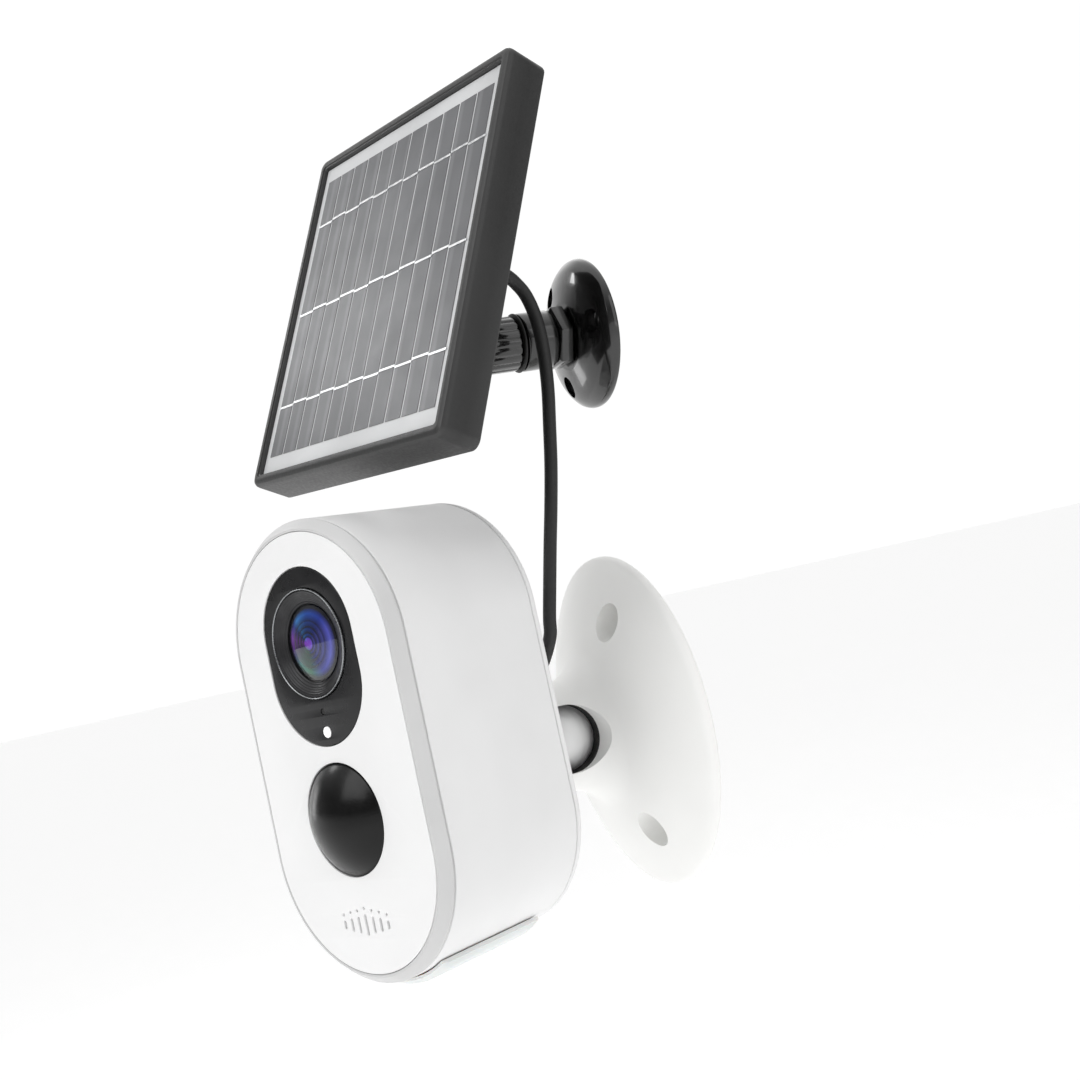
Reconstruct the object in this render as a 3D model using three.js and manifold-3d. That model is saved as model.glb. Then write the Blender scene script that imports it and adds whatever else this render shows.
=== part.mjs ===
// A solar-powered security camera: a battery camera head on a ball-and-socket wall plate, a small solar panel on
// its own ball-jointed wall bracket, and the lead that joins them. Millimetres, +Z up, the wall is the plane y = 0,
// the front looks along -Y, and the origin is the middle of the camera wall plate's back face.
import * as THREE from 'three';
import { mergeVertices } from 'three/addons/utils/BufferGeometryUtils.js';
import Module from 'manifold-3d';

const wasm = await Module();
wasm.setup();

// ---------------------------------------------------------------- driving dimensions
const GAP = 0.3; // between faces that touch on the real object
const FINE = 24; // sides of a large round piece
const PLAIN = 14; // sides of a small round piece

// camera head, in its own frame: x right, y from the front seam to the back, z up from mid height
const HEAD = { width: 66, height: 118, depth: 46.7, rise: 3.5, inset: 2.4, wall: 2.2 };
const WINDOW = { width: 35, height: 45.4, z: 24.3 };
const LENS = { z: 27.6, ring: 14, glass: 9.9 };
const STATUS_Z = 5;
const SENSOR_DOT_Z = 10.2;
const PIR = { z: -17.2, radius: 14.2, dome: 5.4 };
const GRILLE = { z: -43, pitch: 2.8, slot: 1.1, heights: [2.4, 3.6, 4.4, 5.6, 4.4, 3.6, 2.4] };
const SPEAKER_RADIUS = 8.5;
const CELL = { radius: 9.2, length: 65, x: 16.5, y: 30.5 };
const SCREW = { x: 23, z: 40.5, head: 2.6, shank: 1.3 };
const PORT = { x: 16, z: -17 };
const BAY = { width: 17.4, front: 9.2, back: 30.8, rim: -57.3, floor: -50 };
const FLAP = { proud: 2.4, halfAngle: 31, front: 3, back: 38 };
const STUD_Z = -14.4; // the mounting stud, below mid height

// ball joint behind the head
const BALL = { out: 26, radius: 10.6, gap: 0.35, reach: 32.4 }; // reach: back of the head to the ball's centre
const HEAD_YAW = 26.5; // degrees the head is turned on the ball
const PLATE_RADIUS = 50;
const PLATE_HOLES = { circle: 35, angles: [60, 180, 300], bore: 2.5, recess: 5.3, floor: 3.2 };
const SLOT_RADIUS = 9.9; // side slot that lets the neck swing out

// solar panel, in its own frame: x right, y from the bezel's front to the back, z up
const PANEL = { width: 95, height: 105, depth: 12, lip: 3.4 };
const PANEL_TURN = { yaw: 19.9, lean: -23.3, roll: 5.2 }; // degrees
const PANEL_STUD_Z = -13.06;
const BOX = { x: 22.5, z: 6.8, width: 26, height: 22, depth: 6 };

// the panel's wall bracket, along -Y from the wall
const BRACKET = { x: 26, z: 113.2, disc: 21.5, ballOut: 47.6, ball: 6, tube: 8.25, sleeve: 7.8, reach: 11 };
const DISC_HOLES = { circle: 15.5, angles: [0, 120, 240], bore: 2.2, sink: 3.2 };

// the lead's middle line, chosen by hand: out of the gland behind the panel, over and down beside the
// bracket, down the back of the head and into its plug
const LEAD_RADIUS = 1.8;
const LEAD_ROUTE = [
  [45.5, -30.4, 128.4],
  [44.7, -28.2, 127.2],
  [44.1, -26.3, 125.4],
  [44.0, -24.5, 122.6],
  [44.0, -23.3, 118.8],
  [44.0, -22.6, 114.2],
  [44.0, -22.5, 108.8],
  [44.0, -22.9, 102.6],
  [44.0, -23.9, 94.8],
  [43.9, -25.6, 85.6],
  [43.5, -27.5, 75.2],
  [42.5, -29.6, 64.7],
  [41.0, -31.7, 54.3],
  [39.5, -33.7, 43.9],
  [38.0, -35.2, 35.3],
  [37.1, -35.6, 31.1],
  [34.7, -36.6, 27.0],
  [31.6, -38.0, 22.8],
  [28.5, -39.3, 18.6],
  [26.1, -40.3, 14.5],
  [25.3, -40.8, 10.4],
];

// ---------------------------------------------------------------- finishes
function finish(color, roughness, metalness = 0) {
  return new THREE.MeshStandardMaterial({ color, roughness, metalness });
}

const WHITE_SHELL = finish(0xf0f0ee, 0.42);
const WHITE_FACE = finish(0xf5f5f5, 0.35);
const BLACK_GLOSS = finish(0x0b0b0d, 0.12);
const BLACK_MATT = finish(0x1c1c1e, 0.6);
const BLACK_LENS = finish(0x141416, 0.3);
const PANEL_BLACK = finish(0x2b2b2b, 0.45);
const CELL_GREY = finish(0x55565a, 0.35);
const CLEAR = finish(0xdfe6ea, 0.08);
const RUBBER = finish(0x232323, 0.8);
const WHITE_RUBBER = finish(0xe6e6e2, 0.7);
const STEEL = finish(0xb8babd, 0.3, 1);
const BRASS = finish(0xb59a54, 0.35, 1);
const BOARD_GREEN = finish(0x1f5a3a, 0.55);
const CELL_BLUE = finish(0x2c5b93, 0.45);

// ---------------------------------------------------------------- solids
// A closed geometry as a solid, whichever way round its faces were drawn.
function solid(geometry) {
  const bare = geometry.index ? geometry.toNonIndexed() : geometry.clone();
  bare.deleteAttribute('normal');
  bare.deleteAttribute('uv');
  const merged = mergeVertices(bare, 1e-4);
  const corners = merged.index.array;
  const faces = [];
  for (let i = 0; i < corners.length; i += 3) {
    const [a, b, c] = corners.slice(i, i + 3);
    if (a !== b && b !== c && c !== a) faces.push([a, b, c]);
  }
  const build = (list) =>
    new wasm.Manifold(
      new wasm.Mesh({
        numProp: 3,
        vertProperties: merged.attributes.position.array,
        triVerts: new Uint32Array(list.flat()),
      }),
    );
  const made = build(faces);
  return made.volume() < 0 ? build(faces.map(([a, b, c]) => [a, c, b])) : made;
}

function geometryOf(made) {
  const mesh = made.getMesh();
  const geometry = new THREE.BufferGeometry();
  geometry.setAttribute('position', new THREE.BufferAttribute(mesh.vertProperties, 3));
  geometry.setIndex(new THREE.BufferAttribute(mesh.triVerts, 1));
  geometry.computeVertexNormals();
  return geometry;
}

const join = (first, ...rest) => rest.reduce((whole, next) => whole.add(next), first);
const cut = (first, ...rest) => rest.reduce((whole, next) => whole.subtract(next), first);

function box([x0, x1], [y0, y1], [z0, z1]) {
  const geometry = new THREE.BoxGeometry(x1 - x0, y1 - y0, z1 - z0);
  return solid(geometry.translate((x0 + x1) / 2, (y0 + y1) / 2, (z0 + z1) / 2));
}

// A cylinder or cone along Y, from y0 to y1.
function rod(x, z, y0, y1, r0, r1 = r0, sides = PLAIN) {
  const geometry = new THREE.CylinderGeometry(r1, r0, y1 - y0, sides);
  return solid(geometry.translate(x, (y0 + y1) / 2, z));
}

function post(x, y, z0, z1, r0, r1 = r0, sides = PLAIN) {
  const geometry = new THREE.CylinderGeometry(r1, r0, z1 - z0, sides).rotateX(Math.PI / 2);
  return solid(geometry.translate(x, y, (z0 + z1) / 2));
}

// A profile of [radius, y] points turned about an axis along Y through (x, z).
function turned(profile, x = 0, z = 0, sides = FINE) {
  const points = profile.map(([r, y]) => new THREE.Vector2(r, y));
  return solid(new THREE.LatheGeometry(points, sides).translate(x, 0, z));
}

function sphere(x, y, z, radius, across = FINE) {
  const geometry = new THREE.SphereGeometry(radius, across, across / 2);
  return solid(geometry.rotateX(Math.PI / 2).translate(x, y, z));
}

// The [radius, y] points of a round cap: its crown at y = crown, its edge of the given radius at y = edge.
function cap(radius, crown, edge, steps = 8) {
  const height = Math.abs(edge - crown);
  const full = (radius * radius + height * height) / (2 * height);
  const middle = crown + Math.sign(edge - crown) * full;
  const sweep = Math.asin(Math.min(1, radius / full));
  return Array.from({ length: steps + 1 }, (_, i) => {
    const angle = (sweep * i) / steps;
    return [full * Math.sin(angle), middle - Math.sign(edge - crown) * full * Math.cos(angle)];
  });
}

// A rectangle with round corners, as points in the X-Z plane; an obround when radius is half its width.
function outline(width, height, radius, steps) {
  const points = [];
  const middles = [[1, 1], [-1, 1], [-1, -1], [1, -1]];
  middles.forEach(([sx, sz], quarter) => {
    for (let i = 0; i <= steps; i += 1) {
      const angle = ((quarter + i / steps) * Math.PI) / 2;
      const x = sx * (width / 2 - radius) + radius * Math.cos(angle);
      const z = sz * (height / 2 - radius) + radius * Math.sin(angle);
      points.push(new THREE.Vector2(x, z));
    }
  });
  return points;
}

// A solid through outlines [y, width, height, radius], front to back, about (x, z).
function block(sections, { x = 0, z = 0, steps = 7 } = {}) {
  const rings = sections.map(([y, width, height, radius]) =>
    outline(width, height, Math.min(radius, width / 2 - 1e-3, height / 2 - 1e-3), steps).map(
      (p) => new THREE.Vector3(p.x + x, y, p.y + z),
    ),
  );
  const count = rings[0].length;
  const faces = [];
  const tri = (a, b, c) => faces.push(...a.toArray(), ...b.toArray(), ...c.toArray());
  for (let row = 0; row + 1 < rings.length; row += 1) {
    for (let i = 0; i < count; i += 1) {
      const j = (i + 1) % count;
      tri(rings[row][i], rings[row][j], rings[row + 1][j]);
      tri(rings[row][i], rings[row + 1][j], rings[row + 1][i]);
    }
  }
  const last = rings[rings.length - 1];
  for (let i = 1; i + 1 < count; i += 1) {
    tri(rings[0][0], rings[0][i + 1], rings[0][i]);
    tri(last[0], last[i], last[i + 1]);
  }
  const geometry = new THREE.BufferGeometry();
  geometry.setAttribute('position', new THREE.Float32BufferAttribute(faces, 3));
  return solid(geometry);
}

// A flat outline drawn in the X-Z plane, from y0 to y1.
function prism(shape, y0, y1, curveSegments = 6) {
  const geometry = new THREE.ExtrudeGeometry(shape, { depth: y1 - y0, bevelEnabled: false, curveSegments });
  return solid(geometry.rotateX(Math.PI / 2).translate(0, y1, 0));
}

// ---------------------------------------------------------------- the object's groups
const camera = new THREE.Group();
const onWall = new THREE.Group();
const head = new THREE.Group();
const panel = new THREE.Group();
camera.add(onWall, head, panel);

head.rotation.set(0, 0, THREE.MathUtils.degToRad(HEAD_YAW), 'ZXY');
head.position
  .set(0, -(HEAD.depth + BALL.reach), -STUD_Z)
  .applyEuler(head.rotation)
  .add(new THREE.Vector3(0, -BALL.out, 0));

panel.rotation.set(
  THREE.MathUtils.degToRad(PANEL_TURN.lean),
  THREE.MathUtils.degToRad(PANEL_TURN.roll),
  THREE.MathUtils.degToRad(PANEL_TURN.yaw),
  'ZXY',
);
panel.position
  .set(0, -(PANEL.depth + BRACKET.reach), -PANEL_STUD_Z)
  .applyEuler(panel.rotation)
  .add(new THREE.Vector3(BRACKET.x, -BRACKET.ballOut, BRACKET.z));

function piece(group, name, made, material) {
  const mesh = new THREE.Mesh(geometryOf(made), material);
  mesh.name = name;
  group.add(mesh);
}

const turnedAbout = ([x, z], angle, radius) => [
  x + radius * Math.cos(THREE.MathUtils.degToRad(angle)),
  z + radius * Math.sin(THREE.MathUtils.degToRad(angle)),
];

// ---------------------------------------------------------------- camera wall plate and its ball joint
// A trumpet-shaped plate, hollow behind, with three recessed screw holes, a ball socket in its nose
// and a round-ended slot in the socket's right side.
function cameraWallPlate() {
  const outside = turned([
    [0, 0], [49.5, 0], [PLATE_RADIUS, -0.6], [PLATE_RADIUS, -2], [49.2, -3.2], [46.6, -4.8], [41, -7.6], [33.5, -10.9],
    [26.5, -13.2], [22.6, -15], [19.6, -17.7], [17.5, -21], [16.3, -24.5], [15.2, -29.5],
    [14.2, -32.5], [12.4, -33.2], [0, -33.2],
  ], 0, 0, 36);
  // two ring-shaped hollows behind, either side of a stiffening rib
  const outerHollow = turned([[30, 2], [45, 2], [45, -1.4], [43.5, -3.4], [33, -8], [30, -9], [30, 2]]);
  const innerHollow = turned([[16, 2], [28, 2], [28, -9.6], [24, -10.6], [16, -11], [16, 2]]);
  const holes = PLATE_HOLES.angles.map((angle) => turnedAbout([0, 0], angle, PLATE_HOLES.circle));
  const bosses = holes.map(([x, z]) => rod(x, z, -12, 3, PLATE_HOLES.recess + 2.2));
  const bores = holes.map(([x, z]) => rod(x, z, -20, 1, PLATE_HOLES.bore));
  const recesses = holes.map(([x, z]) => rod(x, z, -20, -PLATE_HOLES.floor, PLATE_HOLES.recess));
  const seat = sphere(0, -BALL.out, 0, BALL.radius + BALL.gap);
  const mouth = turned([[0, -36], [11.6, -36], [9.3, -31.7], [0, -31.7]]);
  const slotEnd = new THREE.Shape();
  slotEnd.absarc(0, -27, SLOT_RADIUS, 0, Math.PI, false);
  slotEnd.lineTo(-SLOT_RADIUS, -50);
  slotEnd.lineTo(SLOT_RADIUS, -50);
  slotEnd.closePath();
  const slot = solid(
    new THREE.ExtrudeGeometry(slotEnd, { depth: 30, bevelEnabled: false, curveSegments: 14 }).rotateY(Math.PI / 2),
  );
  return cut(outside, cut(outerHollow, ...bosses), innerHollow, ...bores, ...recesses, seat, mouth, slot);
}

piece(onWall, 'camera_wall_plate', cameraWallPlate(), WHITE_SHELL);
piece(onWall, 'camera_ball', sphere(0, -BALL.out, 0, BALL.radius), WHITE_SHELL);

const BALL_Y = HEAD.depth + BALL.reach; // the ball's centre, in the head's frame
const aboutStud = (profile, sides) => turned(profile, 0, STUD_Z, sides);

function cameraStud() {
  const shape = aboutStud([
    [0, 40.2], [3.1, 40.2], [3.1, 54], [9, 54], [9.4, 54.4], [9.4, 56], [9, 56.4], [4.6, 57.4], [4, 61],
    [3.6, 70], [3.6, BALL_Y - 4], [0, BALL_Y - 4],
  ], PLAIN);
  return cut(shape, sphere(0, BALL_Y, STUD_Z, BALL.radius + GAP));
}

// A ring with shallow finger grooves, along Y.
function grooved(x, z, y0, y1, radius, depth, count) {
  const shape = new THREE.Shape();
  for (let i = 0; i < count * 4; i += 1) {
    const angle = (i / (count * 4)) * 2 * Math.PI;
    const r = i % 4 < 2 ? radius : radius - depth;
    const point = [x + r * Math.cos(angle), z + r * Math.sin(angle)];
    if (i === 0) shape.moveTo(...point);
    else shape.lineTo(...point);
  }
  shape.closePath();
  // the outline is drawn in X-Z, and prism() turns its second axis to Z
  return prism(shape, y0, y1);
}

piece(head, 'camera_stud', cameraStud(), STEEL);
piece(head, 'stud_lock_nut', cut(
  grooved(0, STUD_Z, 47.3, 53.6, 8.2, 0.5, 18),
  rod(0, STUD_Z, 40, 60, 3.1 + GAP),
), BLACK_MATT);

// ---------------------------------------------------------------- camera head: casing
const W = HEAD.width;
const H = HEAD.height;
const obround = (y, inset) => [y, W - 2 * inset, H - 2 * inset, W / 2 - inset];
const tube = (y0, y1, outer, inner) => cut(
  block([obround(y0, outer), obround(y1, outer)]),
  block([obround(y0 - 1, inner), obround(y1 + 1, inner)]),
);

function grilleCuts() {
  const middle = (GRILLE.heights.length - 1) / 2;
  return GRILLE.heights.flatMap((height, i) => {
    const x = (i - middle) * GRILLE.pitch;
    const slot = [-6, GRILLE.slot, height, GRILLE.slot / 2];
    const low = block([slot, [0, ...slot.slice(1)]], { x, z: GRILLE.z - 0.6, steps: 2 });
    return [low, rod(x, GRILLE.z + height / 2 + 0.7, -6, 0, GRILLE.slot / 2, GRILLE.slot / 2, 8)];
  });
}

function frontFace() {
  const plate = block([
    obround(-HEAD.rise, HEAD.inset + 0.5), obround(-HEAD.rise + 0.35, HEAD.inset), obround(-1, 0.3),
    obround(-0.5, 0), obround(-0.15, 0),
  ]);
  const inside = block([obround(-1.3, 4.2), obround(1, 4.2)]);
  const spigot = tube(-1.3, 3, 2.5, 4.2);
  const windowHole = block([
    [-6, WINDOW.width + 2 * GAP, WINDOW.height + 2 * GAP, WINDOW.width / 2 + GAP],
    [2, WINDOW.width + 2 * GAP, WINDOW.height + 2 * GAP, WINDOW.width / 2 + GAP],
  ], { z: WINDOW.z, steps: 9 });
  const pirHole = rod(0, PIR.z, -6, 2, PIR.radius + GAP, PIR.radius + GAP, FINE);
  return cut(join(cut(plate, inside), spigot), windowHole, pirHole, ...grilleCuts());
}

function headShell() {
  const outside = block([obround(0.15, 0), obround(44.4, 0)]);
  const middle = block([obround(-1, 3.2), obround(46, 3.2)]);
  const frontPocket = block([obround(-1, HEAD.wall), obround(4.8, HEAD.wall)]);
  const backPocket = block([obround(40, HEAD.wall), obround(46, HEAD.wall)]);
  const bayHole = box([-BAY.width / 2 - GAP, BAY.width / 2 + GAP], [BAY.front - GAP, BAY.back + GAP], [-70, -45]);
  const columns = corners(SCREW.x, SCREW.z).map(([x, z]) => rod(x, z, 22, 39.8, 3.6));
  const bores = corners(SCREW.x, SCREW.z).map(([x, z]) => rod(x, z, 24, 42, SCREW.shank + GAP, SCREW.shank + GAP, 12));
  const inner = cut(join(middle, frontPocket, backPocket), ...columns);
  return cut(outside, inner, bayHole, ...bores);
}

function corners(x, z) {
  return [[-x, z], [x, z], [-x, -z], [x, -z]];
}

function rearCover() {
  const plate = block([obround(44.7, 0), obround(46, 0), obround(46.5, 0.5), obround(HEAD.depth, 1.2)]);
  const spigot = tube(41.6, 45, 2.5, 4.3);
  const insertHole = rod(0, STUD_Z, 40, 50, 6 + GAP);
  const screwHoles = corners(SCREW.x, SCREW.z).flatMap(([x, z]) => [
    rod(x, z, 40, 50, SCREW.shank + GAP, SCREW.shank + GAP, 12),
    rod(x, z, 45.5, 50, SCREW.head + GAP),
  ]);
  const portHole = block([[40, 10.6, 5.2, 1.5], [50, 10.6, 5.2, 1.5]], { x: PORT.x, z: PORT.z, steps: 3 });
  return cut(join(plate, spigot), insertHole, ...screwHoles, portHole);
}

piece(head, 'front_face', frontFace(), WHITE_FACE);
piece(head, 'face_gasket', tube(3.3, 4.5, 2.5, 3.9), WHITE_RUBBER);
piece(head, 'head_shell', headShell(), WHITE_SHELL);
piece(head, 'rear_cover', rearCover(), WHITE_SHELL);

corners(SCREW.x, SCREW.z).forEach(([x, z], i) => {
  const screw = join(rod(x, z, 45.8, 46.9, SCREW.head, SCREW.head - 0.4), rod(x, z, 27, 46, SCREW.shank, SCREW.shank, 10));
  piece(head, `cover_screw_${i + 1}`, screw, STEEL);
});

// threaded insert that takes the stud
piece(head, 'mount_insert', cut(
  rod(0, STUD_Z, 38, 46.9, 6),
  rod(0, STUD_Z, 39.6, 50, 3.1 + GAP),
), BRASS);

// ---------------------------------------------------------------- camera head: optics and sensors
function windowPlate() {
  const plate = block([
    [-3.35, WINDOW.width - 0.5, WINDOW.height - 0.5, WINDOW.width / 2 - 0.25],
    [-3.1, WINDOW.width, WINDOW.height, WINDOW.width / 2],
    [-1.7, WINDOW.width, WINDOW.height, WINDOW.width / 2],
  ], { z: WINDOW.z, steps: 9 });
  const lensHole = rod(0, LENS.z, -6, 0, LENS.ring + GAP, LENS.ring + GAP, FINE);
  const statusHole = rod(0, STATUS_Z, -6, 0, 1.7, 1.7, 16);
  const sensorHole = rod(0, SENSOR_DOT_Z, -6, 0, 1, 1, 12);
  return cut(plate, lensHole, statusHole, sensorHole);
}

piece(head, 'window_plate', windowPlate(), BLACK_GLOSS);
piece(head, 'lens_bezel', turned([
  [10.2, 1.2], [10.2, -1.3], [12.5, -3.5], [13.2, -4], [13.8, -4], [LENS.ring, -3.7], [LENS.ring, 1.2], [10.2, 1.2],
], 0, LENS.z), BLACK_GLOSS);
piece(head, 'front_lens', turned([...cap(LENS.glass, -3.3, -1.2), [LENS.glass, 1], [0, 1]], 0, LENS.z), CLEAR);
piece(head, 'lens_barrel', turned([
  [6.3, 1.5], [9.4, 1.5], [9.4, 6.2], [6.2, 6.4], [6.2, 12.4], [5.2, 12.4], [5.2, 6.2], [6.3, 5], [6.3, 1.5],
], 0, LENS.z, PLAIN), BLACK_LENS);
piece(head, 'inner_lens', turned([...cap(4.8, 6.9, 7.8, 5), [4.8, 9.4], [0, 9.4]], 0, LENS.z, PLAIN), CLEAR);
piece(head, 'lens_holder', cut(
  block([[7, 19, 19, 2], [13.9, 19, 19, 2]], { z: LENS.z, steps: 2 }),
  rod(0, LENS.z, 5, 15, 6.2 + GAP),
), BLACK_MATT);
piece(head, 'image_sensor', box([-4, 4], [12.8, 13.9], [LENS.z - 3.5, LENS.z + 3.5]), BLACK_LENS);
piece(head, 'camera_board', block([[14.2, 34, 30, 2], [15.3, 34, 30, 2]], { z: LENS.z, steps: 2 }), BOARD_GREEN);
[-1, 1].forEach((side) => {
  const name = side < 0 ? 'infrared_led_left' : 'infrared_led_right';
  piece(head, name, turned([...cap(1.5, -1.3, -0.4, 4), [1.5, 1.5], [0, 1.5]], side * 8.5, 8, 12), CLEAR);
});
piece(head, 'status_light', rod(0, STATUS_Z, -3.4, 1.5, 1.35, 1.35, 16), WHITE_FACE);
piece(head, 'light_sensor', rod(0, SENSOR_DOT_Z, -3.1, 1.5, 0.7, 0.7, 12), BLACK_LENS);
piece(head, 'light_board', block([[1.8, 26, 13, 1], [2.9, 26, 13, 1]], { z: 6.4, steps: 2 }), BOARD_GREEN);

piece(head, 'pir_dome', turned([
  ...cap(13.6, -HEAD.rise - PIR.dome, -HEAD.rise - 0.1, 7), [PIR.radius, -3.3], [PIR.radius, -0.6], [12.8, -0.6],
  [12.8, -2.6], ...cap(12.4, -HEAD.rise - PIR.dome + 1.1, -HEAD.rise + 0.4, 4).reverse(),
], 0, PIR.z), BLACK_GLOSS);
piece(head, 'pir_sensor', rod(0, PIR.z, 0.6, 5, 4.2, 4.2, PLAIN), STEEL);
piece(head, 'pir_board', block([[5.3, 24, 22, 2], [6.4, 24, 22, 2]], { z: PIR.z, steps: 2 }), BOARD_GREEN);
piece(head, 'speaker_mesh', rod(0, GRILLE.z, -1, -0.5, 9.8), BLACK_MATT);
piece(head, 'speaker', turned([
  [0, 2.6], [6.6, 2.2], [SPEAKER_RADIUS, 0.6], [SPEAKER_RADIUS, 2.8], [5, 3.4], [5, 6.4], [0, 6.4],
], 0, GRILLE.z, PLAIN), BLACK_MATT);

// ---------------------------------------------------------------- camera head: power and electronics
piece(head, 'main_board', block([[17, 50, 84, 10], [18.4, 50, 84, 10]], { steps: 4 }), BOARD_GREEN);

function batteryTray() {
  const base = box([-27, 27], [19, 20.6], [-32, 36]);
  const ends = [[-34.2, -32.2 + GAP], [35, 36.8]].map((z) => box([-25, 25], [19, 33], z));
  return join(base, ...ends);
}

const CELL_Z = [-31, -31 + CELL.length];
piece(head, 'battery_tray', batteryTray(), BLACK_MATT);
piece(head, 'battery_left', post(-CELL.x, CELL.y, ...CELL_Z, CELL.radius), CELL_BLUE);
piece(head, 'battery_right', post(CELL.x, CELL.y, ...CELL_Z, CELL.radius), CELL_BLUE);
piece(head, 'wifi_antenna', block([[22, 24, 7, 1], [22.8, 24, 7, 1]], { z: 46, steps: 2 }), BOARD_GREEN);

const portBlock = (y0, y1, width, height, radius) =>
  block([[y0, width, height, radius], [y1, width, height, radius]], { x: PORT.x, z: PORT.z, steps: 3 });
piece(head, 'power_port', cut(
  portBlock(41.2, 46.3, 10, 4.4, 1),
  portBlock(42.2, 50, 8.6, 3.1, 0.8),
), STEEL);
piece(head, 'lead_plug', join(
  portBlock(42.6, 47.5, 8, 2.5, 0.6),
  block([[47.1, 9.6, 9, 1.6], [47.7, 10.4, 9.8, 2], [58.2, 10.4, 9.8, 2], [59.3, 8.6, 8, 1.4]], {
    x: PORT.x, z: PORT.z - 0.1, steps: 3,
  }),
), BLACK_MATT);
const LEAD_Y = 54.6; // where the lead comes down behind the head
piece(head, 'plug_relief', post(PORT.x, LEAD_Y, PORT.z + 5.1, PORT.z + 12.6, 3.3, 2.3, 16), RUBBER);

// the covered bay under the head: a tub with the reset button and the memory card slot
const bayBox = (inset, z) => box(
  [-BAY.width / 2 + inset, BAY.width / 2 - inset],
  [BAY.front + inset, BAY.back - inset],
  z,
);
piece(head, 'port_bay', cut(
  bayBox(0, [BAY.rim, BAY.floor]),
  bayBox(1.2, [BAY.rim - 1, BAY.floor - 1.2]),
  post(-4, 20, -60, -40, 1.6 + GAP),
  box([1.7, 3.7], [13.2, 25.4], [-60, -40]),
), BLACK_MATT);
piece(head, 'reset_button', post(-4, 20, -53.2, -48.8, 1.6), WHITE_RUBBER);
piece(head, 'card_slot', cut(
  box([0.9, 4.5], [12, 26.6], [-49.6, -43]),
  box([1.7, 3.7], [13.2, 25.4], [-60, -43.6]),
), STEEL);
piece(head, 'memory_card', box([2.2, 3.2], [13.8, 24.8], [-53.6, -43.9]), BLACK_MATT);

// a rubber door that follows the round underside, hinged along its back edge
function portFlap() {
  const bottom = -(H / 2 - W / 2);
  const ring = (y0, y1, outer, inner) => cut(
    rod(0, bottom, y0, y1, outer, outer, 72),
    rod(0, bottom, y0 - 1, y1 + 1, inner, inner, 72),
  );
  const outer = W / 2 + FLAP.proud;
  const inner = W / 2 + GAP;
  const shell = join(
    ring(FLAP.front + 1, FLAP.back - 1, outer, inner),
    ring(FLAP.front, FLAP.back, outer - 0.8, inner),
  );
  const half = THREE.MathUtils.degToRad(FLAP.halfAngle);
  const reach = 60;
  const wedge = new THREE.Shape();
  wedge.moveTo(0, bottom);
  wedge.lineTo(-reach * Math.sin(half), bottom - reach * Math.cos(half));
  wedge.lineTo(reach * Math.sin(half), bottom - reach * Math.cos(half));
  wedge.closePath();
  return shell.intersect(prism(wedge, 0, HEAD.depth));
}
piece(head, 'port_flap', portFlap(), WHITE_RUBBER);

// ---------------------------------------------------------------- solar panel
const P = PANEL;
const panelRing = (y, inset, radius) => [y, P.width - 2 * inset, P.height - 2 * inset, radius];

function panelFrame() {
  const outside = block([
    panelRing(0, 1.6, 1.6), panelRing(0.4, 0.7, 2.2), panelRing(1.2, 0.15, 2.6), panelRing(2, 0, 2.8),
    panelRing(11.4, 0, 2.8), panelRing(P.depth, 0.5, 2.4),
  ], { steps: 4 });
  const opening = block([panelRing(-1, P.lip, 0.8), panelRing(20, P.lip, 0.8)], { steps: 2 });
  const pocket = block([panelRing(4, 1.8, 1.2), panelRing(20, 1.8, 1.2)], { steps: 2 });
  return cut(outside, opening, pocket);
}

piece(panel, 'panel_frame', panelFrame(), PANEL_BLACK);
piece(panel, 'panel_glass', block([
  panelRing(0.9, P.lip + GAP, 0.5), panelRing(2.1, P.lip + GAP, 0.5),
], { steps: 1 }), CLEAR);
piece(panel, 'cell_sheet', block([
  panelRing(2.4, P.lip + GAP, 0.5), panelRing(3.7, P.lip + GAP, 0.5),
], { steps: 1 }), CELL_GREY);

function panelBack() {
  const plate = block([panelRing(10.1, 2.1, 1), panelRing(11.7, 2.1, 1)], { steps: 2 });
  const boss = rod(0, PANEL_STUD_Z, 7, 13.4, 9, 8.4);
  return cut(join(plate, boss), rod(0, PANEL_STUD_Z, 8.2, 20, 4.6 + GAP));
}

piece(panel, 'panel_back', panelBack(), PANEL_BLACK);
piece(panel, 'panel_insert', cut(
  rod(0, PANEL_STUD_Z, 8.5, 13.3, 4.6),
  rod(0, PANEL_STUD_Z, 9.3, 20, 2.1 + GAP, 2.1 + GAP, 16),
), BRASS);

const boxRing = (y, inset, radius) => [y, BOX.width - 2 * inset, BOX.height - 2 * inset, radius];
piece(panel, 'junction_box', block([
  boxRing(12, 0, 2), boxRing(12 + BOX.depth - 1, 0.3, 2), boxRing(12 + BOX.depth, 1.2, 1.6),
], { x: BOX.x, z: BOX.z, steps: 3 }), PANEL_BLACK);
piece(panel, 'lead_gland', turned([
  [0, 18.3], [4.4, 18.3], [4.4, 20.6], [3.2, 21.1], [2.5, 25.4], [0, 25.4],
], BOX.x, BOX.z, 16), RUBBER);

// ---------------------------------------------------------------- panel bracket
const BALL2_Y = P.depth + BRACKET.reach; // the bracket ball's centre, in the panel's frame
piece(panel, 'panel_stud', cut(
  turned([[0, 9.7], [2.1, 9.7], [2.1, BALL2_Y - 3], [0, BALL2_Y - 3]], 0, PANEL_STUD_Z, 16),
  sphere(0, BALL2_Y, PANEL_STUD_Z, BRACKET.ball + GAP, PLAIN),
), STEEL);
piece(panel, 'panel_lock_nut', cut(
  rod(0, PANEL_STUD_Z, 13.7, 15.3, 5.6, 5.6, 6),
  rod(0, PANEL_STUD_Z, 10, 20, 2.1 + GAP, 2.1 + GAP, 16),
), STEEL);

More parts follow.
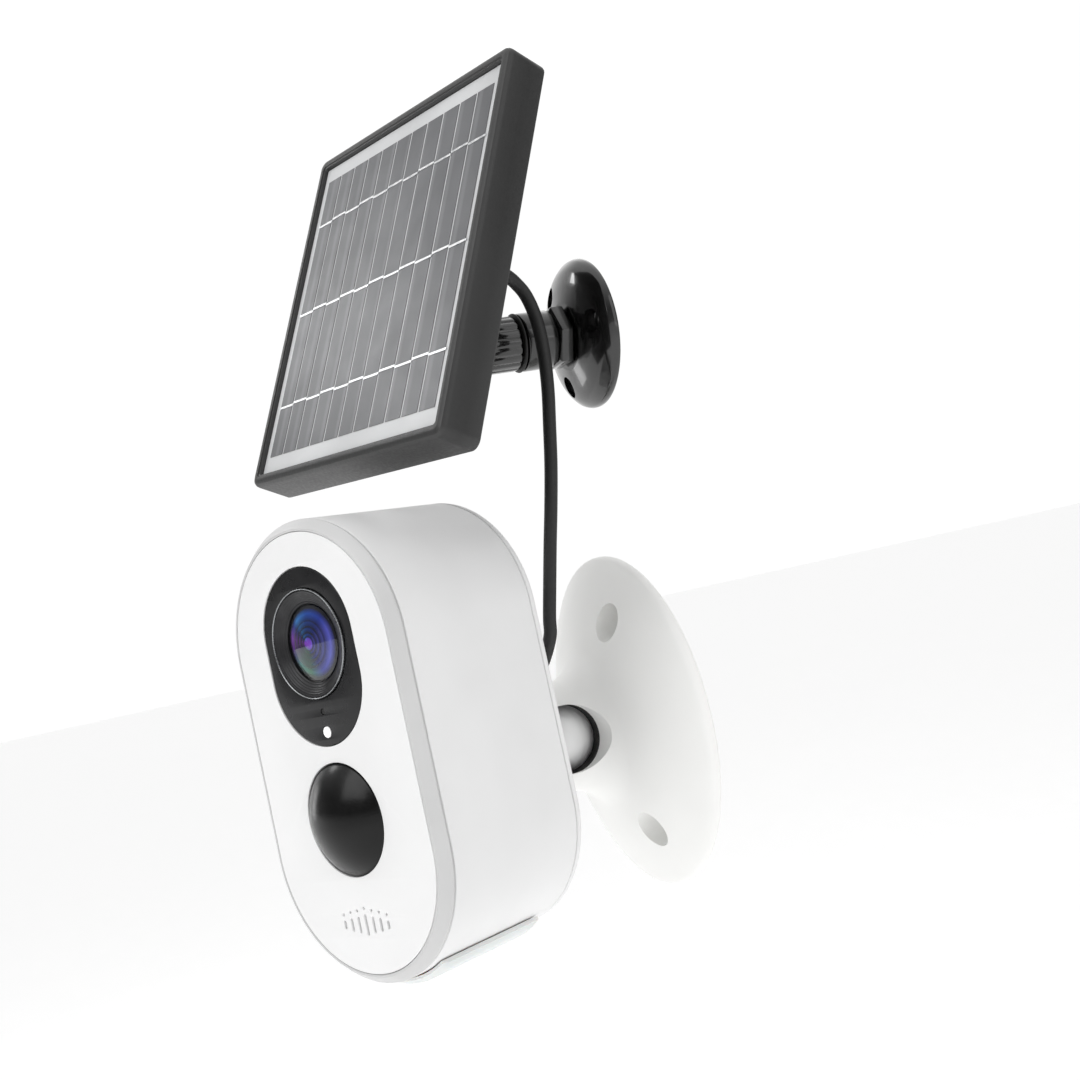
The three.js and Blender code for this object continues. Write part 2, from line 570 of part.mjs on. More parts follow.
const aboutBracket = (profile, sides = FINE) => turned(profile, BRACKET.x, BRACKET.z, sides);
const bracketBall = (radius) => sphere(BRACKET.x, -BRACKET.ballOut, BRACKET.z, radius, PLAIN);
piece(onWall, 'panel_ball', bracketBall(BRACKET.ball), STEEL);

function panelWallPlate() {
  const dome = aboutBracket([
    [0, 0], [21, 0], [BRACKET.disc, -0.6], [BRACKET.disc, -1.3], [20.8, -2.8], [18.8, -4.5], [15.5, -5.8],
    [12, -6.7], [9, -7.3], [0, -7.4],
  ]);
  const socket = rod(BRACKET.x, BRACKET.z, -20, -2.4, 5.5);
  const holes = DISC_HOLES.angles.flatMap((angle) => {
    const [x, z] = turnedAbout([BRACKET.x, BRACKET.z], angle, DISC_HOLES.circle);
    return [rod(x, z, -20, 1, DISC_HOLES.bore, DISC_HOLES.bore, 16), rod(x, z, -20, -2.6, DISC_HOLES.sink)];
  });
  return cut(dome, socket, ...holes);
}

piece(onWall, 'panel_wall_plate', panelWallPlate(), BLACK_GLOSS);
piece(onWall, 'bracket_nut', cut(
  aboutBracket([[0, -12.3], [8.2, -12.3], [9.3, -11.6], [9.3, -8.4], [8.2, -7.7], [0, -7.7]], 6),
  rod(BRACKET.x, BRACKET.z, -20, 0, 5.5),
), BLACK_GLOSS);
piece(onWall, 'bracket_tube', cut(
  aboutBracket([
    [0, -41.8], [6, -41.8], [6, -21.8], [7.8, -21.8], [BRACKET.tube, -21.4], [BRACKET.tube, -13],
    [7.8, -12.6], [5.2, -12.6], [5.2, -2.7], [0, -2.7],
  ]),
  bracketBall(BRACKET.ball + GAP),
), BLACK_GLOSS);
piece(onWall, 'bracket_o_ring', aboutBracket([
  [6.3, -23.2], [8, -23.2], [8.4, -22.8], [8.4, -22.5], [8, -22.1], [6.3, -22.1], [6.3, -23.2],
]), RUBBER);

function clampSleeve() {
  const outer = grooved(BRACKET.x, BRACKET.z, -50.4, -23.5, BRACKET.sleeve, 0.35, 14);
  const seat = bracketBall(BRACKET.ball + BALL.gap);
  const bore = rod(BRACKET.x, BRACKET.z, -BRACKET.ballOut, -20, BRACKET.ball + BALL.gap);
  const flare = rod(BRACKET.x, BRACKET.z, -BRACKET.ballOut - 4, -BRACKET.ballOut - 2.4, 9.2, 5.6);
  const mouth = rod(BRACKET.x, BRACKET.z, -60, -BRACKET.ballOut, 5.6);
  return cut(outer, seat, bore, flare, mouth);
}
piece(onWall, 'clamp_sleeve', clampSleeve(), BLACK_GLOSS);

// ---------------------------------------------------------------- the lead between the panel and the head
function lead() {
  const path = new THREE.CatmullRomCurve3(LEAD_ROUTE.map((p) => new THREE.Vector3(...p)), false, 'centripetal');
  const section = new THREE.Shape();
  const sides = 8;
  for (let i = 0; i < sides; i += 1) {
    const angle = (i / sides) * 2 * Math.PI;
    const point = [LEAD_RADIUS * Math.cos(angle), LEAD_RADIUS * Math.sin(angle)];
    if (i === 0) section.moveTo(...point);
    else section.lineTo(...point);
  }
  section.closePath();
  return solid(new THREE.ExtrudeGeometry(section, { extrudePath: path, steps: 26, curveSegments: 1 }));
}
piece(onWall, 'solar_lead', lead(), RUBBER);

export default camera;
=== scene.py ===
"""The looks of a solar-powered security camera: white moulded head and wall plate, black bracket, small solar
panel and the lead between them. Lengths are in millimetres up to new_piece(), which turns them to metres."""

import math

import bmesh
import bpy
import numpy as np
from mathutils import Matrix, Vector


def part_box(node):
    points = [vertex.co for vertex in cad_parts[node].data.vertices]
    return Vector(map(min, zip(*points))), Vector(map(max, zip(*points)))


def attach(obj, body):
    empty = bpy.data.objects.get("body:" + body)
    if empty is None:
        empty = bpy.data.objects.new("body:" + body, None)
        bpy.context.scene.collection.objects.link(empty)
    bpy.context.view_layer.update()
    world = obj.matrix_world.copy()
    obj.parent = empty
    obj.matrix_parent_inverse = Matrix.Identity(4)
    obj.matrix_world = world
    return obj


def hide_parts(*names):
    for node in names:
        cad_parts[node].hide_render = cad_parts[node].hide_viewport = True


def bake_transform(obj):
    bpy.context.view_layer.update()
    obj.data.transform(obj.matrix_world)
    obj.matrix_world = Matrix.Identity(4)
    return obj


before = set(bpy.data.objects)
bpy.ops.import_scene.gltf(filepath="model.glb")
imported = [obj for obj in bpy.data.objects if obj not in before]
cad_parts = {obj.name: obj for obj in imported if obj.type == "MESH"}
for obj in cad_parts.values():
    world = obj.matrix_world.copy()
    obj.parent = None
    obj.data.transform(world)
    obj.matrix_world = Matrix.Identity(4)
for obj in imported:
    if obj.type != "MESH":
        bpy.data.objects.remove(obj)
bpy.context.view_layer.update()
MM = 0.001

# ---------------------------------------------------------------- placement, from the frame


def middle(node_name):
    low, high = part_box(node_name)
    return (low + high) / 2 / MM


def turned(yaw, lean=0.0, roll=0.0):
    return (
        Matrix.Rotation(math.radians(yaw), 4, "Z")
        @ Matrix.Rotation(math.radians(lean), 4, "X")
        @ Matrix.Rotation(math.radians(roll), 4, "Y")
    )


STUD_Z = -14.4
HEAD_DEPTH = 46.7
HEAD_REACH = 32.4
PANEL_STUD_Z = -13.06
PANEL_REACH = 23.0
BALL_RADIUS = 10.6

BALL = middle("camera_ball")
PANEL_BALL = middle("panel_ball")
WALL = Matrix.Identity(4)
HEAD = (
    Matrix.Translation(BALL) @ turned(26.5) @ Matrix.Translation((0, -(HEAD_DEPTH + HEAD_REACH), -STUD_Z))
)
PANEL = (
    Matrix.Translation(PANEL_BALL)
    @ turned(19.9, -23.3, 5.2)
    @ Matrix.Translation((0, -PANEL_REACH, -PANEL_STUD_Z))
)
BRACKET = Matrix.Translation((PANEL_BALL.x, 0, PANEL_BALL.z))


def added(name, data):
    """A new object in the scene."""
    made = bpy.data.objects.new(name, data)
    bpy.context.scene.collection.objects.link(made)
    return made


# ---------------------------------------------------------------- camera


def place_camera():
    """Looks at the object from its right and a little below, rolled, through a 44 mm lens."""
    azimuth, elevation, roll = (math.radians(a) for a in (68.27, -3.24, -12.42))
    right = Vector((math.cos(azimuth), math.sin(azimuth), 0))
    level = Vector((-math.sin(azimuth), math.cos(azimuth), 0))
    ahead = math.cos(elevation) * level - Vector((0, 0, math.sin(elevation)))
    up = right.cross(ahead)
    across = math.cos(roll) * right + math.sin(roll) * up
    upward = math.cos(roll) * up - math.sin(roll) * right
    aim = -28.92 * across + 53.97 * upward
    data = bpy.data.cameras.new("view")
    data.sensor_width = 36
    data.lens = 43.79
    data.clip_start = 0.01
    camera = added("view", data)
    turn = Matrix((across, upward, -ahead)).transposed().to_4x4()
    camera.matrix_world = Matrix.Translation((aim - 398.71 * ahead) * MM) @ turn
    bpy.context.scene.camera = camera


place_camera()

# ---------------------------------------------------------------- materials


def linear(code):
    """An sRGB hex colour as linear light."""
    parts = [int(code[i : i + 2], 16) / 255 for i in (1, 3, 5)]
    return (*[c / 12.92 if c <= 0.04045 else ((c + 0.055) / 1.055) ** 2.4 for c in parts], 1.0)


def node(tree, kind, settings=None, links=None):
    """Adds a shader node, with its settings and what feeds its sockets."""
    made = tree.nodes.new("ShaderNode" + kind)
    for key, value in (settings or {}).items():
        if isinstance(key, str) and hasattr(made, key):
            setattr(made, key, value)
        else:
            made.inputs[key].default_value = value
    for key, source in (links or {}).items():
        tree.links.new(source, made.inputs[key])
    return made


def new_finish(name, **sockets):
    """A material, its tree and its shader, with the given constant sockets set on the shader."""
    material = bpy.data.materials.new(name)
    material.use_nodes = True
    tree = material.node_tree
    tree.nodes.clear()
    shader = node(tree, "BsdfPrincipled", {k.replace("_", " "): v for k, v in sockets.items()})
    node(tree, "OutputMaterial", links={"Surface": shader.outputs[0]})
    return material, tree, shader


def own_place(tree):
    """The piece's own coordinates."""
    return node(tree, "TexCoord").outputs["Object"]


def noise(tree, size_mm, detail=2.0, stretch=None):
    """Noise whose blobs are size_mm across, on the piece's own coordinates."""
    place = own_place(tree)
    if stretch:
        place = node(tree, "Mapping", {"Scale": stretch}, {"Vector": place}).outputs[0]
    made = node(tree, "TexNoise", {"Scale": 1 / (size_mm * MM), "Detail": detail}, {"Vector": place})
    return made.outputs["Fac"]


def blend_colours(tree, factor, first, second, low=0.35, high=0.65):
    ramp = node(tree, "ValToRGB", links={"Fac": factor})
    ramp.color_ramp.elements[0].position = low
    ramp.color_ramp.elements[1].position = high
    ramp.color_ramp.elements[0].color = linear(first)
    ramp.color_ramp.elements[1].color = linear(second)
    return ramp.outputs["Color"]


def between(tree, factor, low, high):
    span = {"From Min": 0.3, "From Max": 0.7, "To Min": low, "To Max": high}
    return node(tree, "MapRange", span, {"Value": factor}).outputs[0]


def surfaced(tree, shader, colour, rough):
    """Feeds the shader's colour and its roughness."""
    tree.links.new(colour, shader.inputs["Base Color"])
    tree.links.new(rough, shader.inputs["Roughness"])


def bumped(tree, shader, height, depth_mm, strength=1.0):
    made = node(tree, "Bump", {"Strength": strength, "Distance": depth_mm * MM}, {"Height": height})
    tree.links.new(made.outputs[0], shader.inputs["Normal"])


def moulded(name, colours, rough, grain_mm, grain_depth, **sockets):
    """A moulded plastic: colour drifts slowly over the wall, roughness follows the tool's texture."""
    material, tree, shader = new_finish(name, **sockets)
    drift = noise(tree, 28)
    grain = noise(tree, grain_mm, 3)
    surfaced(tree, shader, blend_colours(tree, drift, *colours), between(tree, grain, *rough))
    bumped(tree, shader, grain, grain_depth)
    return material


def fine_textured_abs():
    """ABS moulded in a finely spark-eroded tool: a soft white that spreads highlights wide."""
    return moulded("fine_textured_abs", ("#eaeaea", "#eeeeee"), (0.36, 0.46), 0.9, 0.012, IOR=1.53)


def satin_face_abs():
    """ABS from a smoother tool than the sides: the whitest surface, with a faint sheen."""
    return moulded("satin_face_abs", ("#f6f6f6", "#f9f9f9"), (0.3, 0.38), 1.2, 0.006, IOR=1.53)


def painted_shade_band_abs():
    """The bevelled band round the face: the head's white ABS painted greyer as painted shade, since the band
    faces away from the light, so the face reads as inset.
    """
    return moulded("painted_shade_band_abs", ("#cfcfcf", "#d6d6d6"), (0.34, 0.42), 1.0, 0.008, IOR=1.53)


def warm_white_abs():
    """The wall plate's ABS, a touch warmer and duller than the head's."""
    return moulded("warm_white_abs", ("#f7f7f5", "#fafaf8"), (0.4, 0.5), 1.1, 0.014, IOR=1.53)


def polished_acrylic():
    """Black-tinted PMMA with a fine anti-glare polish: near-black, with soft reflections."""
    material, tree, shader = new_finish("polished_acrylic", IOR=1.49)
    drift = noise(tree, 9)
    colour = blend_colours(tree, drift, "#0e0e10", "#18181a")
    surfaced(tree, shader, colour, between(tree, noise(tree, 4), 0.24, 0.34))
    bumped(tree, shader, drift, 0.01)
    return material


def faceted_polyethylene():
    """Black polyethylene of a motion-sensor dome: glossy, with its moulded lens cells just showing."""
    material, tree, shader = new_finish("faceted_polyethylene", IOR=1.51, Specular_IOR_Level=0.3)
    place = own_place(tree)
    cell_size = 2.6 * MM
    cells = node(
        tree, "TexVoronoi", {"feature": "DISTANCE_TO_EDGE", "Scale": 1 / cell_size}, {"Vector": place}
    )
    edge = node(
        tree, "MapRange", {"From Max": 0.08, "To Min": 0.0, "To Max": 1.0}, {"Value": cells.outputs[0]}
    )
    colour = blend_colours(tree, noise(tree, 6), "#030303", "#080808")
    surfaced(tree, shader, colour, between(tree, noise(tree, 1.5), 0.2, 0.27))
    bumped(tree, shader, edge.outputs[0], 0.008, 0.5)
    return material


def ringed(name, colours, rough, pitch_mm, depth_mm, centre, axis, **sockets):
    """A turned finish: fine rings about an axis, as a lathe tool or a polishing wheel leaves."""
    material, tree, shader = new_finish(name, **sockets)
    place = own_place(tree)
    away = node(tree, "VectorMath", {"operation": "SUBTRACT", 1: tuple(c * MM for c in centre)}, {0: place})
    along = node(tree, "VectorMath", {"operation": "DOT_PRODUCT", 1: tuple(axis)}, {0: away.outputs[0]})
    length = node(tree, "VectorMath", {"operation": "LENGTH"}, {0: away.outputs[0]})
    square, deep = (
        node(tree, "Math", {"operation": "MULTIPLY"}, {0: part.outputs["Value"], 1: part.outputs["Value"]})
        for part in (length, along)
    )
    flat = node(tree, "Math", {"operation": "SUBTRACT"}, {0: square.outputs[0], 1: deep.outputs[0]})
    radius = node(tree, "Math", {"operation": "SQRT"}, {0: flat.outputs[0]})
    turns = node(
        tree, "Math", {"operation": "MULTIPLY", 1: 2 * math.pi / (pitch_mm * MM)}, {0: radius.outputs[0]}
    )
    wave = node(tree, "Math", {"operation": "SINE"}, {0: turns.outputs[0]})
    colour = blend_colours(tree, noise(tree, 5), *colours)
    surfaced(tree, shader, colour, between(tree, noise(tree, 1.2), *rough))
    bumped(tree, shader, wave.outputs[0], depth_mm, 0.6)
    return material, tree, shader, radius.outputs[0]


def gloss_enamel():
    """Black enamel sprayed on metal: deep gloss with a little orange peel that wobbles the reflections."""
    material, tree, shader = new_finish("gloss_enamel", IOR=1.52, Coat_Weight=0.6, Coat_Roughness=0.04)
    peel = noise(tree, 2.2)
    colour = blend_colours(tree, noise(tree, 12), "#0b0b0b", "#141414")
    surfaced(tree, shader, colour, between(tree, peel, 0.14, 0.22))
    bumped(tree, shader, peel, 0.02, 0.5)
    return material


def satin_black_abs():
    """The panel frame's black ABS: charcoal, satin, with a fine even grain, and paler along its sharp edges.
    """
    material, tree, shader = new_finish("satin_black_abs", IOR=1.53)
    grain = noise(tree, 0.8, 3)
    # paler where the mesh's pointiness is high, that is along its sharp edges
    edge = node(tree, "NewGeometry").outputs["Pointiness"]
    pale_edges = node(tree, "MapRange", {"From Min": 0.52, "From Max": 0.6}, {"Value": edge})
    body = blend_colours(tree, noise(tree, 22), "#191919", "#1f1f1f")
    mixed = node(tree, "MixRGB", {"Color2": linear("#4a4a4a")}, {"Color1": body, "Fac": pale_edges.outputs[0]})
    surfaced(tree, shader, mixed.outputs[0], between(tree, grain, 0.38, 0.5))
    bumped(tree, shader, grain, 0.02)
    return material


def pvc_jacket():
    """The lead's PVC jacket: matt near-black, extruded, with faint streaks along it."""
    return moulded("pvc_jacket", ("#0f0f0f", "#151515"), (0.5, 0.62), 0.7, 0.02, IOR=1.53)


def white_silicone():
    """Silicone of the port flap and gaskets: soft white, dull, with a hint of light passing into it."""
    return moulded(
        "white_silicone", ("#e9e9e7", "#eeeeec"), (0.5, 0.6), 1.0, 0.015, IOR=1.43, Subsurface_Weight=0.1
    )


def black_nylon_and_slot_shade():
    """Moulded black nylon of the inner holders: dull and a little streaky. The same black is painted on the
    deep end of the wall plate's neck slot as painted shade.
    """
    return moulded("black_nylon_and_slot_shade", ("#161616", "#222222"), (0.5, 0.66), 0.9, 0.02, IOR=1.53)


def laminated_silicon():
    """Silicon cells under a clear laminate: graphite strips with fine silver fingers along their height."""
    material, tree, shader = new_finish("laminated_silicon", IOR=1.49, Coat_Weight=0.25, Coat_Roughness=0.3)
    place = own_place(tree)
    turn = tuple(PANEL.to_3x3().inverted().to_euler("XYZ"))
    local = node(tree, "Mapping", {"vector_type": "POINT", "Rotation": turn}, {"Vector": place})
    # fingers are 0.05 mm wide on a real cell; drawn every 1.3 mm and wider so that they show
    fingers = node(
        tree, "TexWave", {"bands_direction": "X", "Scale": 1 / (1.3 * MM) / 20, "Distortion": 0.0},
        {"Vector": local.outputs[0]},
    )
    grey = blend_colours(tree, noise(tree, 30), "#4c4d50", "#616265", 0.3, 0.7)
    lines = node(
        tree, "MapRange", {"From Min": 0.8, "From Max": 1.0, "To Max": 0.3}, {"Value": fingers.outputs["Fac"]}
    )
    mixed = node(tree, "MixRGB", {"Color2": linear("#8b8c8e")}, {"Color1": grey, "Fac": lines.outputs[0]})
    surfaced(tree, shader, mixed.outputs[0], between(tree, noise(tree, 7), 0.42, 0.52))
    return material


def white_backing():
    """The panel's printed backing film, pale grey under the same clear laminate."""
    return moulded("white_backing", ("#c9cacb", "#d4d5d6"), (0.4, 0.5), 3.0, 0.005, IOR=1.49)


def tinned_ribbon():
    """Tinned copper ribbon between the cells: pale, bright and slightly wavy."""
    material, tree, shader = new_finish("tinned_ribbon", Metallic=1.0)
    wavy = noise(tree, 1.6)
    surfaced(tree, shader, blend_colours(tree, wavy, "#c4c6c8", "#ececec"), between(tree, wavy, 0.3, 0.5))
    bumped(tree, shader, wavy, 0.05)
    return material


def metal(name, colours, rough, grain_mm=1.2):
    """A machined or plated metal: bright, with fine tool marks that break up its reflections."""
    material, tree, shader = new_finish(name, Metallic=1.0)
    marks = noise(tree, grain_mm, 4, (1.0, 1.0, 6.0))
    surfaced(tree, shader, blend_colours(tree, marks, *colours), between(tree, marks, *rough))
    bumped(tree, shader, marks, 0.01, 0.5)
    return material


def solder_mask():
    """Green solder mask over copper tracks: the raised tracks show as slightly lighter lines."""
    material, tree, shader = new_finish("solder_mask", IOR=1.5, Coat_Weight=0.3)
    place = own_place(tree)
    tracks = node(tree, "TexBrick", {
        "Scale": 1 / (6 * MM), "Color1": linear("#17573a"), "Color2": linear("#1b6544"),
        "Mortar": linear("#2e8259"), "Mortar Size": 0.04,
    }, {"Vector": place})
    surfaced(tree, shader, tracks.outputs["Color"], between(tree, noise(tree, 2), 0.3, 0.45))
    bumped(tree, shader, tracks.outputs["Fac"], 0.03)
    return material


def shrink_wrap():
    """Blue PVC shrink wrap on the cells: glossy, tight, with faint wrinkles."""
    return moulded("shrink_wrap", ("#24578f", "#2b65a3"), (0.25, 0.35), 2.5, 0.05, IOR=1.53)


def milky_light_guide():
    """Frosted polycarbonate of the status light, lit white from behind."""
    material, tree, shader = new_finish(
        "milky_light_guide", IOR=1.58, Emission_Strength=0.35, Emission_Color=linear("#ffffff")
    )
    colour = blend_colours(tree, noise(tree, 0.6), "#f0f0f0", "#ffffff")
    surfaced(tree, shader, colour, between(tree, noise(tree, 0.4), 0.3, 0.4))
    return material


def speaker_cloth():
    """Grey acoustic cloth behind the grille: a fine plain weave."""
    material, tree, shader = new_finish("speaker_cloth", IOR=1.5)
    place = own_place(tree)
    weave = node(tree, "TexChecker", {
        "Scale": 1 / (0.4 * MM), "Color1": linear("#d8d8d8"), "Color2": linear("#e6e6e6"),
    }, {"Vector": place})
    surfaced(tree, shader, weave.outputs["Color"], between(tree, noise(tree, 0.8), 0.7, 0.85))
    bumped(tree, shader, weave.outputs["Fac"], 0.05)
    return material


LENS_Z = 27.6
LENS_CENTRE = HEAD @ Vector((0, -2.0, LENS_Z))
LENS_AXIS = (HEAD.to_3x3() @ Vector((0, 1, 0))).normalized()


def ramp_colours(tree, factor, stops):
    ramp = node(tree, "ValToRGB", links={"Fac": factor})
    elements = ramp.color_ramp.elements
    while len(elements) < len(stops):
        elements.new(0.5)
    for element, (position, colour) in zip(elements, stops):
        element.position = position
        element.color = linear(colour)
    return ramp.outputs["Color"]


def lens_glass_painted_reflections():
    """Lens glass painted with reflections: violet, green and blue painted around it by angle, in rings between
    dark ones, with a violet centre; the same painted colours glow faintly.
    """
    material, tree, shader, radius = ringed(
        "lens_glass_painted_reflections", ("#0a0a1c", "#10102a"), (0.04, 0.08), 2.4, 0.0, LENS_CENTRE, LENS_AXIS,
        IOR=1.6, Coat_Weight=1.0, Coat_Roughness=0.02, Emission_Strength=0.1,
    )
    place = own_place(tree)
    centre, sideways = tuple(c * MM for c in LENS_CENTRE), tuple(HEAD.col[0][:3])
    away = node(tree, "VectorMath", {"operation": "SUBTRACT", 1: centre}, {0: place})
    across = node(tree, "VectorMath", {"operation": "DOT_PRODUCT", 1: sideways}, {0: away.outputs[0]})
    height = node(tree, "SeparateXYZ", links={"Vector": away.outputs[0]}).outputs["Z"]
    flat = node(tree, "CombineXYZ", links={"X": across.outputs["Value"], "Y": height})
    around = node(tree, "TexGradient", {"gradient_type": "RADIAL"}, {"Vector": flat.outputs[0]})
    # painted reflections of the lens coatings: hues that change with the angle around the lens axis
    hues = ramp_colours(tree, around.outputs["Fac"], [
        (0.0, "#7a2fb0"), (0.05, "#1f3a8c"), (0.11, "#1c8f86"), (0.2, "#128a63"), (0.3, "#3d49c9"),
        (0.42, "#7f86ff"), (0.55, "#6c70f2"), (0.63, "#2d49c4"), (0.75, "#2163d8"), (0.84, "#3aa0ff"),
        (0.88, "#1f49b8"), (0.95, "#a14fe0"), (1.0, "#7a2fb0"),
    ])
    share = node(tree, "Math", {"operation": "MULTIPLY", 1: 1 / (9.0 * MM)}, {0: radius})
    # painted reflections of the lens's inner rings: light and dark bands by distance from the axis
    rings = ramp_colours(tree, share.outputs[0], [
        (0.0, "#ffffff"), (0.16, "#ffffff"), (0.19, "#303030"), (0.26, "#b0b0b0"), (0.31, "#484848"),
        (0.42, "#aaaaaa"), (0.47, "#505050"), (0.6, "#b4b4b4"), (0.64, "#707070"), (0.84, "#f4f4f4"),
        (0.92, "#b0b0b0"), (1.0, "#1a1a1a"),
    ])
    painted_reflection_colours = node(tree, "MixRGB", {"blend_type": "MULTIPLY", "Fac": 1.0}, {"Color1": hues, "Color2": rings})
    fade = {"From Min": 0.1, "From Max": 0.2, "To Min": 0.85, "To Max": 0.0}
    near = node(tree, "MapRange", fade, {"Value": share.outputs[0]}).outputs[0]
    # a painted violet reflection at the lens centre
    heart = node(tree, "MixRGB", {"Color2": linear("#9a4be8")}, {"Color1": painted_reflection_colours.outputs[0], "Fac": near})
    # the painted colours also glow faintly, though the lens is no lamp
    tree.links.new(heart.outputs[0], shader.inputs["Base Color"])
    tree.links.new(heart.outputs[0], shader.inputs["Emission Color"])
    return material


def clear_glass():
    """Optical glass, mostly see-through over a near-black base: it shows chiefly by its reflections."""
    material, tree, shader = new_finish(
        "clear_glass", IOR=1.5, Alpha=0.3, Coat_Weight=1.0, Coat_Roughness=0.01
    )
    colour = blend_colours(tree, noise(tree, 8), "#04050a", "#080a12")
    surfaced(tree, shader, colour, between(tree, noise(tree, 3), 0.01, 0.03))
    return material


FACE = satin_face_abs()
SHELL = fine_textured_abs()
BAND_PAINTED_SHADE = painted_shade_band_abs()
PLATE = warm_white_abs()
WINDOW = polished_acrylic()
DOME = faceted_polyethylene()
ENAMEL = gloss_enamel()
PANEL_ABS = satin_black_abs()
JACKET = pvc_jacket()
SILICONE = white_silicone()
NYLON_AND_SLOT_SHADE = black_nylon_and_slot_shade()
SILICON = laminated_silicon()
BACKING = white_backing()
RIBBON = tinned_ribbon()
STEEL = metal("plated_steel", ("#a9abad", "#c3c5c7"), (0.22, 0.36))
BRASS = metal("turned_brass", ("#b08d45", "#c7a45c"), (0.28, 0.4))
BRIGHT_RING = metal("bright_trim_ring", ("#87898b", "#a4a6a8"), (0.24, 0.34))
BOARD = solder_mask()
WRAP = shrink_wrap()
LIGHT = milky_light_guide()
CLOTH = speaker_cloth()
LENS_PAINTED_REFLECTIONS = lens_glass_painted_reflections()
GLASS = clear_glass()
BARREL = ringed(
    "anodised_lens_ring", ("#1c1c1e", "#2a2a2c"), (0.3, 0.42), 0.55, 0.04, LENS_CENTRE, LENS_AXIS,
    Metallic=0.3,
)[0]

CARRIED_OVER = {
    NYLON_AND_SLOT_SHADE: (
        "lens_barrel lens_holder image_sensor light_sensor port_bay memory_card battery_tray speaker lead_plug"
    ),
    STEEL: "power_port card_slot pir_sensor panel_ball panel_stud panel_lock_nut",
    BRASS: "mount_insert panel_insert",
    BOARD: "camera_board light_board pir_board main_board wifi_antenna",
    WRAP: "battery_left battery_right",
    SILICONE: "face_gasket reset_button",
    GLASS: "infrared_led_left infrared_led_right",
    CLOTH: "speaker_mesh",
    # the inner lens carries the same painted reflections and glow
    LENS_PAINTED_REFLECTIONS: "inner_lens",
}
for finish, names in CARRIED_OVER.items():
    for name in names.split():
        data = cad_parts[name].data
        data.materials.clear()
        data.materials.append(finish)

# ---------------------------------------------------------------- making pieces


def new_piece(name, points, faces, place, sharp=35):
    """A mesh object from points in millimetres, its faces turned outwards and its crisp edges kept."""
    mesh = bpy.data.meshes.new(name)
    mesh.from_pydata([tuple(p) for p in points], [], faces)
    return from_mesh(name, mesh, place, sharp)


def shaded(mesh, sharp):
    mesh.shade_smooth()
    mesh.set_sharp_from_angle(angle=math.radians(sharp))


def from_mesh(name, mesh, place, sharp=35):
    work = bmesh.new()
    work.from_mesh(mesh)
    bmesh.ops.remove_doubles(work, verts=work.verts, dist=1e-4)
    bmesh.ops.recalc_face_normals(work, faces=work.faces)
    work.to_mesh(mesh)
    work.free()
    mesh.transform(Matrix.Scale(MM, 4) @ place)
    shaded(mesh, sharp)
    return added(name, mesh)


def evaluated(thing):
    """A new mesh of the thing as its modifiers, or its curve settings, make it."""
    bpy.context.view_layer.update()
    return bpy.data.meshes.new_from_object(thing.evaluated_get(bpy.context.evaluated_depsgraph_get()))


def bake(piece):
    """Puts what the piece's modifiers make in place of its mesh."""
    mesh = evaluated(piece)
    piece.modifiers.clear()
    piece.data = mesh


def bevel(piece, width, segments, sharp, smallest_angle=None):
    """Rounds the piece's edges by width millimetres, where they turn by more than smallest_angle degrees."""
    step = piece.modifiers.new("rounding", "BEVEL")
    step.width = width * MM
    step.segments = segments
    if smallest_angle:
        step.limit_method = "ANGLE"
        step.angle_limit = math.radians(smallest_angle)
    bake(piece)
    shaded(piece.data, sharp)


def cut(piece, *cutters, rounding=0.0, sharp=35):
    """Cuts the cutters out of the piece, removes them and rounds its crisp edges by rounding millimetres."""
    for cutter in cutters:
        step = piece.modifiers.new("cut", "BOOLEAN")
        step.object = cutter
        step.solver = "EXACT"
    bake(piece)
    shaded(piece.data, sharp)
    for cutter in cutters:
        bpy.data.objects.remove(cutter)
    if rounding:
        bevel(piece, rounding, 2, sharp, smallest_angle=40)
        piece.modifiers.new("even_normals", "WEIGHTED_NORMAL").keep_sharp = True
        bake(piece)


def show(piece, body, finish, slot, *nodes):
    """Gives the piece its finish and body, and hides the CAD nodes it stands for."""
    if finish is not None:
        piece.data.materials.clear()
        piece.data.materials.append(finish)
    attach(piece, body)
    if nodes:
        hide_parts(*nodes)


def skin(rows, count, closed=False, capped=True):
    """The faces between rows of count points each. closed joins the last row to the first; otherwise capped
    fills both end rows."""
    faces = []
    for row in range(rows if closed else rows - 1):
        here, there = row * count, (row + 1) % rows * count
        ends = [(i, (i + 1) % count) for i in range(count)]
        faces += [(here + i, here + j, there + j, there + i) for i, j in ends]
    if capped and not closed:
        faces += [tuple(range(count)), tuple(range((rows - 1) * count, rows * count))]
    return faces


def rounded(width, height, radius, steps=12, x=0.0, z=0.0):
    """The outline of a rectangle with round corners, in the X-Z plane, anticlockwise."""
    radius = min(radius, width / 2 - 1e-4, height / 2 - 1e-4)
    points = []
    for quarter, (sx, sz) in enumerate([(1, 1), (-1, 1), (-1, -1), (1, -1)]):
        for i in range(steps + 1):
            angle = (quarter + i / steps) * math.pi / 2
            points.append((
                x + sx * (width / 2 - radius) + radius * math.cos(angle),
                z + sz * (height / 2 - radius) + radius * math.sin(angle),
            ))
    return points


def loft(name, sections, place, x=0.0, z=0.0, steps=12, ring=False, sharp=35):
    """A skin through rounded outlines (y, width, height, radius). ring joins the last to the first; otherwise
    both ends are closed."""
    rows = [[(px, y, pz) for px, pz in rounded(w, h, r, steps, x, z)] for y, w, h, r in sections]
    points = [p for row in rows for p in row]
    return new_piece(name, points, skin(len(rows), len(rows[0]), ring), place, sharp)


